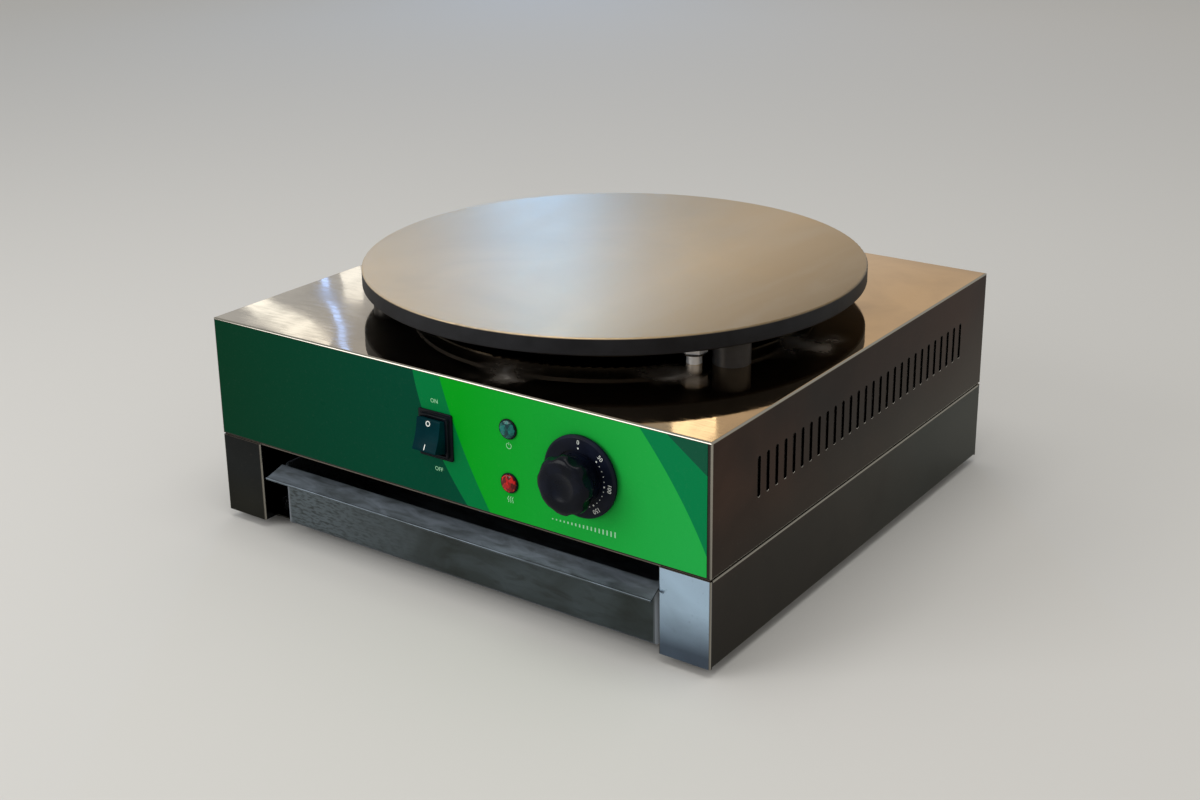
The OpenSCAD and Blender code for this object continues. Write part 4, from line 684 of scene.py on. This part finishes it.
def arc(radius, first, last, steps):
    """Points along an arc, by its radius and its angles in degrees."""
    turns = [math.radians(first + (last - first) * i / steps) for i in range(steps + 1)]
    return [(radius * math.cos(a), radius * math.sin(a)) for a in turns]


def on_front(mesh, x, y, z, turn=0.0):
    """Stand a flat mesh up to face the front, its middle at a point."""
    mesh.transform(Matrix.Translation((x, y, z)) @ Matrix.Rotation(math.pi / 2, 4, "X")
                   @ Matrix.Rotation(turn, 4, "Z"))
    return mesh


def printed(name, meshes, colour, body, slot):
    """Join flat marks into one printed piece."""
    shape = bmesh.new()
    for mesh in meshes:
        shape.from_mesh(mesh)
    whole = as_mesh(shape, name)
    whole.materials.append(colour)
    put(name, whole, body, slot)


switch_low, switch_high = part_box("switch_body")
switch_x = (switch_low.x + switch_high.x) / 2
switch_z = (switch_low.z + switch_high.z) / 2
overlay_y = overlay_low.y
caption_height = 0.0031
switch_words = []
for word, aside, rise in (("ON", -0.001, 0.0252), ("OFF", 0.0008, -0.0267)):
    switch_words.append(on_front(lettering(word, caption_height), switch_x + aside, overlay_y,
                                 switch_z + rise))
printed("switch_captions", switch_words, pale_ink, "chassis", "green_overlay")

# Plain signs stand under the lamps, a ring with a bar and three rising waves, and a wedge that
# grows to the right stands under the dial.
lamp_boxes = [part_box("green_lamp_lens"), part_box("red_lamp_lens")]
lamp_x = (lamp_boxes[0][0].x + lamp_boxes[0][1].x) / 2
lamp_zs = [(low.z + high.z) / 2 for low, high in lamp_boxes]
sign_gap = 0.0126
sign_line = 0.00045
power_radius = 0.0021
power_bar = [(0, 0.0006), (0, 0.0027)]
wave_height = 0.0048
wave_pitch = 0.0019
wave_swing = 0.0005
wave_steps = 16
steps_per_wave = 12
signs = [on_front(strip(path, sign_line), lamp_x, overlay_y, lamp_zs[0] - sign_gap)
         for path in (arc(power_radius, 120, 420, 24), power_bar)]
for i in range(3):
    wave = [(wave_pitch * (i - 1) + wave_swing * math.sin(2 * math.pi * t / steps_per_wave),
             wave_height * (t / wave_steps - 0.5)) for t in range(wave_steps + 1)]
    signs.append(on_front(strip(wave, sign_line), lamp_x, overlay_y, lamp_zs[1] - sign_gap))
printed("lamp_signs", signs, pale_ink, "chassis", "green_overlay")

dial_low, dial_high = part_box("dial_skirt")
knob_x = (dial_low.x + dial_high.x) / 2
knob_z = (dial_low.z + dial_high.z) / 2
wedge_drop = 0.0395
wedge_half = 0.026
wedge_bars = 17
bar_width = 0.0011
shortest_bar = 0.0008
bar_growth = 0.0034
wedge = []
for i in range(wedge_bars):
    x = wedge_half * (2 * i / (wedge_bars - 1) - 1)
    tall = shortest_bar + bar_growth * i / (wedge_bars - 1)
    wedge.append(on_front(strip([(x, 0), (x, tall)], bar_width), knob_x, overlay_y,
                          knob_z - wedge_drop))
printed("heat_wedge", wedge, pale_ink, "chassis", "green_overlay")

# ---- Switch ----
# A moulded rocker switch: a black body that snaps into the front, with a bezel and a collar, and
# a dark teal rocker that stands proud of them. Its hollow face is marked with a ring and a bar.


def softened(node, edge, finish, steps=2):
    """A copy of a CAD node's mesh, merged, with its sharp edges rounded off."""
    shell = bmesh.new()
    shell.from_mesh(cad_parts[node].data)
    bmesh.ops.remove_doubles(shell, verts=shell.verts, dist=1e-6)
    bmesh.ops.dissolve_limit(shell, angle_limit=math.radians(0.5), verts=shell.verts,
                             edges=shell.edges)
    mesh = as_mesh(shell, node + "_soft")
    mesh.shade_smooth()
    holder = stand(node + "_soft", mesh)
    bevel = holder.modifiers.new("edges", "BEVEL")
    bevel.width = edge
    bevel.segments = steps
    bevel.limit_method = "ANGLE"
    bevel.angle_limit = math.radians(32)
    bevel.harden_normals = True
    soft = made_plain(holder)
    soft.materials.clear()
    soft.materials.append(finish)
    return soft


black_plastic = moulded("black_plastic", rgb(8, 11, 16), rgb(15, 20, 28), 0.28, 0.000012, 0.1)
rocker_plastic = moulded("rocker_plastic", rgb(0, 36, 42), rgb(1, 46, 52), 0.25, 0.000004, 0.02)
put("switch_shell", softened("switch_body", 0.0004, black_plastic), "chassis", "black_plastic",
    "switch_body")
put("rocker_key", softened("rocker", 0.0009, rocker_plastic, 3), "rocker", "rocker_plastic",
    "rocker")

rocker_tilt = math.radians(17)
rocker_face_radius = 0.060
face_out = 0.0098
pivot_y = overlay_y - 0.0014


def on_rocker(mesh, rise):
    """Lay a flat mark on the rocker's hollow face, its middle at a height above the pivot."""
    for vert in mesh.vertices:
        across, height, lift = vert.co.x, vert.co.y + rise, vert.co.z
        hollow = rocker_face_radius - math.sqrt(rocker_face_radius ** 2 - height ** 2)
        vert.co = (across, -face_out - hollow - lift, height)
    mesh.transform(Matrix.Translation((switch_x, pivot_y, switch_z))
                   @ Matrix.Rotation(-rocker_tilt, 4, "X"))
    return mesh


mark_rise = 0.0085
mark_line = 0.0007
ring_steps = 30
ring_path = arc(0.0017, 0, 360 - 360 / ring_steps, ring_steps - 1)
ring_mark = on_rocker(strip(ring_path, mark_line, closed=True), mark_rise)
bar_path = [(0, -0.002), (0, -0.001), (0, 0.001), (0, 0.002)]
bar_mark = on_rocker(strip(bar_path, mark_line), -mark_rise)
printed("rocker_marks", [ring_mark, bar_mark], white_ink, "rocker", "rocker_plastic")

# ---- Lamps ----
# Two signal lamps, set into the front. Each is a black moulded tube with a thin ring, and holds a
# cut lens of clear coloured plastic.
put("lamp_tubes", softened("lamp_bodies", 0.0003, black_plastic), "chassis", "black_plastic",
    "lamp_bodies")


def clear_lens(name, deep, bright):
    """Clear coloured plastic, painted in small patches of deep and bright tone that stand in for
    light caught by its facets.
    """
    finish, tree, shader = new_finish(name)
    facets = add(tree, "ShaderNodeTexVoronoi",
                 {"Vector": place_on(tree), "Scale": 420.0}).outputs["Color"]
    tone = add(tree, "ShaderNodeSeparateColor", {0: facets}).outputs[0]
    feed(tree, shader, {
        "Base Color": mixed(tree, level(tree, tone, 0, 1, 0.2, 0.9), deep, bright),
        "Roughness": 0.1, "Specular IOR Level": 0.25})
    relief(tree, shader, (tone, 0.00012))
    return finish


def cut_lens(box, finish):
    """A lens in a lamp's tube: a round stub, and a wider head cut in staggered facets."""
    low, high = box
    radius = (high.x - low.x) / 2
    facets = 12
    shape = bmesh.new()
    # The rings of the cut: a share of the stub's width, a depth, and a half step of turn or none.
    rows = [(1.0, high.y - low.y, 0), (1.0, 0.0018, 0), (1.28, 0.0018, 0), (1.26, 0.0012, 0),
            (0.88, 0.0005, 1), (0.42, 0.0001, 0)]
    rings = []
    for width, depth, offset in rows:
        ring = []
        for i in range(facets):
            a = 2 * math.pi * (i + offset / 2) / facets
            ring.append(shape.verts.new((width * radius * math.cos(a), depth,
                                         width * radius * math.sin(a))))
        rings.append(ring)
    for row, (outer, inner) in enumerate(zip(rings, rings[1:])):
        shift = rows[row + 1][2] - rows[row][2]
        for i in range(facets):
            k = (i + 1) % facets
            if shift == 0:
                shape.faces.new((outer[i], outer[k], inner[k], inner[i]))
            else:
                near = i if shift > 0 else k
                shape.faces.new((outer[i], outer[k], inner[near]))
                tip = outer[k] if shift > 0 else outer[i]
                shape.faces.new((tip, inner[k], inner[i]))
    shape.faces.new(rings[-1])
    shape.faces.new(rings[0][::-1])
    bmesh.ops.recalc_face_normals(shape, faces=shape.faces)
    mesh = as_mesh(shape, "lens")
    mesh.transform(Matrix.Translation(((low.x + high.x) / 2, low.y, (low.z + high.z) / 2)))
    mesh.materials.append(finish)
    return mesh


for name, box, deep, bright in (("green", lamp_boxes[0], rgb(0, 50, 54), rgb(12, 106, 98)),
                                ("red", lamp_boxes[1], rgb(84, 2, 8), rgb(200, 26, 22))):
    lens = cut_lens(box, clear_lens(name + "_lens", deep, bright))
    put(name + "_cut_lens", lens, "chassis", name + "_lens", name + "_lamp_lens")

# ---- Thermostat ----
# A capillary thermostat behind the front: a pale moulded case, with a copper bulb under the
# plate that a thin copper tube joins to it.
thermostat_case = moulded("thermostat_case", rgb(214, 206, 184), rgb(190, 180, 156), 0.5, 0.00003)
wear(thermostat_case, "thermostat_body")
copper = plated("drawn_copper", rgb(196, 130, 92), rgb(150, 92, 66), 0.26)
wear(copper, "sensing_bulb", "capillary_tube")
wear(plain_sheet, "bulb_clips")

# ---- Dial ----
# A black moulded disc on the thermostat's shaft, with a groove round the grip. White dots stand
# every ten degrees of the plate, with a larger one and a number at every fifty and at rest.
dial_plastic = moulded("dial_plastic", rgb(10, 14, 26), rgb(22, 27, 44), 0.3, 0.00002, 0.1)
wear(dial_plastic, "dial_skirt")
dot_tree, given, result = new_tree("dial_dots", [
    ("Count", "Int"), ("First", "Float"), ("Step", "Float"), ("Ring", "Float"),
    ("Dot", "Float"), ("Rise", "Float"), ("Finish", "Material")])
number = add(dot_tree, "GeometryNodeInputIndex").outputs[0]
angle = reckon(dot_tree, "MULTIPLY_ADD", number, given["Step"], given["First"])
across = reckon(dot_tree, "MULTIPLY", reckon(dot_tree, "SINE", angle), given["Ring"])
upward = reckon(dot_tree, "MULTIPLY", reckon(dot_tree, "COSINE", angle), given["Ring"])
place = add(dot_tree, "ShaderNodeCombineXYZ", {"X": across, "Z": upward}).outputs[0]
points = add(dot_tree, "GeometryNodePoints",
             {"Count": given["Count"], "Position": place}).outputs[0]
dot = add(dot_tree, "GeometryNodeMeshCylinder",
          {"Vertices": 16, "Radius": given["Dot"], "Depth": given["Rise"]}).outputs[0]
dot = add(dot_tree, "GeometryNodeTransform",
          {"Geometry": dot, "Rotation": (math.pi / 2, 0, 0)}).outputs[0]
dots = add(dot_tree, "GeometryNodeInstanceOnPoints", {"Points": points, "Instance": dot}).outputs[0]
on_dial = add(dot_tree, "GeometryNodeInstanceOnPoints",
              {"Points": given["Geometry"], "Instance": dots}).outputs[0]
finish_tree(dot_tree, on_dial, given, result)

# Turns are in degrees from the top, clockwise as the front shows them.
dial_y = dial_low.y
dot_ring = 0.0211
number_ring = 0.0252
number_height = 0.0031
first_fifty = 45
fifty_turn = 50
dots_per_fifty = 5
fifties = 5
small_count = dots_per_fifty * (fifties - 1) + 1
dot_sets = {"dial_small_dots": (small_count, first_fifty, fifty_turn / dots_per_fifty, 0.00036, 2),
            "dial_large_dots": (fifties, first_fifty, fifty_turn, 0.00062, 2.4),
            "dial_rest_dot": (1, 0, 0, 0.00066, 2.4)}
for name, (count, first, step, dot, rise) in dot_sets.items():
    dots = grow(name, dot_tree, [(knob_x, dial_y, knob_z)], count=count,
                first=math.radians(first), step=math.radians(step), ring=dot_ring, dot=dot,
                rise=rise * ink_thickness, finish=white_ink)
    put(name, dots, "knob", "black_plastic")
numbers = [on_front(lettering("0", number_height), knob_x, dial_y, knob_z + number_ring)]
for i in range(fifties):
    turn = math.radians(first_fifty + i * fifty_turn)
    numbers.append(on_front(lettering(str(50 * (i + 1)), number_height),
                            knob_x + number_ring * math.sin(turn), dial_y,
                            knob_z + number_ring * math.cos(turn), -turn))
printed("dial_numbers", numbers, white_ink, "knob", "black_plastic")

# ---- Grip ----
# The moulded grip on the dial: a skirted barrel that flares to eight finger flutes, with a
# rounded shoulder and a shallow dish in its front.
grip_low, grip_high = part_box("knob_grip")
grip_height = grip_high.y - grip_low.y
foot_radius = 0.0175
widest_radius = 0.0215
flute_count = 8
flute_radius = 0.011
flute_depth = 0.0022
flute_distance = widest_radius + flute_radius - flute_depth
dish_radius = 0.0105
dish_depth = 0.0022
dish_rim = grip_height * 0.992
ridge_round = 0.0003


def flute_wall(turn):
    """How far out the nearest flute lets the grip reach in a direction."""
    pitch = 2 * math.pi / flute_count
    off = (turn / pitch) % 1.0 * pitch - pitch / 2
    inside = flute_radius ** 2 - (flute_distance * math.sin(off)) ** 2
    if inside < 0:
        return 1.0
    return flute_distance * math.cos(off) - math.sqrt(inside)


def soft_least(a, b):
    """The lesser of two radii, with the corner between them rounded."""
    low = min(a, b)
    return low - ridge_round * math.log(math.exp(-(a - low) / ridge_round)
                                        + math.exp(-(b - low) / ridge_round))


grip_profile = [(foot_radius, 0.0), (foot_radius + 0.0001, 0.0012)]
for r, part in ((0.0179, 0.2), (0.0189, 0.38), (0.0206, 0.55), (0.0213, 0.63),
                (widest_radius, 0.69), (0.02135, 0.73), (0.0212, 0.8), (0.0207, 0.865),
                (0.0198, 0.92), (0.0186, 0.96), (0.0172, 0.986), (0.0156, 0.997),
                (0.0138, 1.0), (0.0119, 1.0), (0.0110, 0.996)):
    grip_profile.append((r, grip_height * part))
dish_steps = 8
for i in range(dish_steps):
    r = dish_radius * (1 - i / dish_steps)
    grip_profile.append((r, dish_rim - dish_depth * (1 - (r / dish_radius) ** 2)))
grip_steps = 240
shape = bmesh.new()
rings = []
for r, h in grip_profile:
    ring = []
    for i in range(grip_steps):
        turn = 2 * math.pi * i / grip_steps
        reach = soft_least(r, flute_wall(turn))
        ring.append(shape.verts.new((knob_x + reach * math.sin(turn), grip_high.y - h,
                                     knob_z + reach * math.cos(turn))))
    rings.append(ring)
for outer, inner in zip(rings, rings[1:]):
    for i in range(grip_steps):
        k = (i + 1) % grip_steps
        shape.faces.new((outer[i], outer[k], inner[k], inner[i]))
hub = shape.verts.new((knob_x, grip_high.y - dish_rim + dish_depth, knob_z))
for i in range(grip_steps):
    shape.faces.new((rings[-1][i], rings[-1][(i + 1) % grip_steps], hub))
shape.faces.new(rings[0])
bmesh.ops.recalc_face_normals(shape, faces=shape.faces)
grip_mesh = as_mesh(shape, "fluted_grip")
grip_mesh.shade_smooth()
grip_plastic = moulded("grip_plastic", rgb(4, 7, 16), rgb(14, 20, 36), 0.2, 0.00002, 0.12)
grip_mesh.materials.append(grip_plastic)
put("fluted_grip", grip_mesh, "knob", "black_plastic", "knob_grip")

# ---- Posts, heat pan and elements ----
# Three blackened posts carry the plate. A pressed pan, painted nearly black as shade but for its
# rim, which is painted bright as a highlight, hangs under it on studs, with a fibre pad. Two
# tubular elements are clamped up against the plate.
post_black = moulded("post_black", rgb(26, 27, 31), rgb(42, 43, 47), 0.36, 0.00003)
wear(post_black, "plate_posts")
pan_greys = (rgb(150, 144, 136), rgb(132, 124, 116))
pan_sheet, tree, shader = polished_sheet("pan_sheet", pan_greys, pan_greys, pan_greys, 0.16, 0.3,
                                         along_the_front)
pan_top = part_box("heat_pan")[1].z
# Painted light: the pan's wall is painted nearly black as shade, and its rim is painted bright and
# less metallic as a highlight.
at_rim = along(tree, "Z", pan_top - 0.0032, pan_top - 0.0028)
dark_wall_shade = mixed(tree, 0.9, shader.inputs["Base Color"].links[0].from_socket, rgb(12, 11, 11))
feed(tree, shader, {
    "Base Color": mixed(tree, at_rim, dark_wall_shade, rgb(116, 116, 118)),
    "Metallic": level(tree, at_rim, 1, 0.4, 0, 1)})
wear(pan_sheet, "heat_pan", "element_clamps")
bright_zinc = plated("bright_zinc", rgb(240, 242, 244), rgb(222, 226, 234), 0.3, 0.5)
wear(bright_zinc, "pan_studs", "pan_spacers", "pan_nuts")
sheath = plated("heat_tinted_sheath", rgb(58, 52, 50), rgb(42, 39, 42), 0.38)
wear(sheath, "outer_element", "inner_element")
fibre = moulded("pressed_fibre", rgb(226, 222, 212), rgb(206, 200, 186), 0.85, 0.0003, 0.2)
wear(fibre, "insulation_pad")
glazed = moulded("glazed_ceramic", rgb(222, 216, 198), rgb(206, 198, 178), 0.18, 0.00001)
wear(glazed, "element_terminals", "terminal_block")
brass = plated("brass", rgb(200, 166, 96), rgb(176, 138, 74), 0.24)
wear(brass, "element_links", "switch_terminals", "terminal_screws", "earth_stud")

# ---- Griddle plate ----
# A cast iron plate, turned flat on top and baked with oil to a satin beige brown, its top tinted
# with painted reflection, lighter at the front and the left and darker at the right end. Its rim
# and underside are blackened, up to the rounded edge of the top.
plate_low, plate_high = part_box("griddle_plate")
plate_centre = ((plate_low.x + plate_high.x) / 2, (plate_low.y + plate_high.y) / 2, 0)
cast_plate, tree, shader = new_finish("cast_plate")
offset = add(tree, "ShaderNodeVectorMath", {0: place_on(tree), 1: plate_centre},
             operation="SUBTRACT").outputs[0]
parts = split(tree, offset)
flat = add(tree, "ShaderNodeCombineXYZ", {"X": parts["X"], "Y": parts["Y"]}).outputs[0]
radius = add(tree, "ShaderNodeVectorMath", {0: flat}, operation="LENGTH").outputs["Value"]
turning = add(tree, "ShaderNodeTexNoise", {"W": radius, "Scale": 1500.0, "Detail": 2.0},
              noise_dimensions="1D").outputs[0]
baked = grain(tree, 8, 5.0, distortion=0.7)
wiped = grain(tree, 34, 4.0, stretch=(1, 0.25, 1), distortion=0.4)
# Painted reflection: the top is lighter at the front and at the left, warmer to the right, and
# painted darker at the right end.
to_right = along(tree, "X", plate_low.x, plate_high.x)
at_rear = mixed(tree, to_right, rgb(178, 166, 146), rgb(176, 148, 104))
at_front = mixed(tree, to_right, rgb(230, 211, 184), rgb(208, 178, 132))
top_colour = mixed(tree, along(tree, "Y", plate_high.y, plate_low.y), at_rear, at_front)
right_end = level(tree, parts["X"], 0, 0.8, 0.07, 0.2)
top_colour = mixed(tree, right_end, top_colour, rgb(104, 90, 65))
top_colour = mixed(tree, level(tree, baked, 0, 0.3, 0.35, 0.7), top_colour, rgb(160, 148, 128))
top_colour = mixed(tree, level(tree, wiped, 0, 0.12, 0.45, 0.7), top_colour, rgb(200, 194, 182))
is_top = level(tree, parts["Z"], 0, 1, plate_high.z - 0.0012, plate_high.z - 0.0003)
blotches = level(tree, grain(tree, 60, 4.0), 0, 1)
rim_colour = mixed(tree, blotches, rgb(17, 18, 22), rgb(29, 30, 34))
top_gloss = level(tree, wiped, 0.38, 0.42)
rim_gloss = level(tree, is_top, 0.5, 0.0, 0, 1)
feed(tree, shader, {
    "Base Color": mixed(tree, is_top, rim_colour, top_colour),
    "Metallic": level(tree, is_top, 0.1, 1.0, 0, 1),
    "Specular IOR Level": 0.2,
    "Roughness": reckon(tree, "MULTIPLY_ADD", top_gloss, is_top, rim_gloss)})
relief(tree, shader, (turning, 0.00002), (grain(tree, 900, 2.0), 0.00001))
wear(cast_plate, "griddle_plate")

# ---- Wiring and cable gland ----
# Sleeved leads join the terminal block, the switch, the thermostat and the elements. A black
# gland for a mains cable passes through the rear. A lock nut holds it, and it has a rubber seal.
sleeve = moulded("wire_sleeve", rgb(124, 66, 40), rgb(150, 86, 56), 0.55, 0.00004)
wear(sleeve, "wiring")
wear(black_plastic, "cable_gland", "gland_nut")

bpy.context.scene.view_settings.view_transform = "Standard"
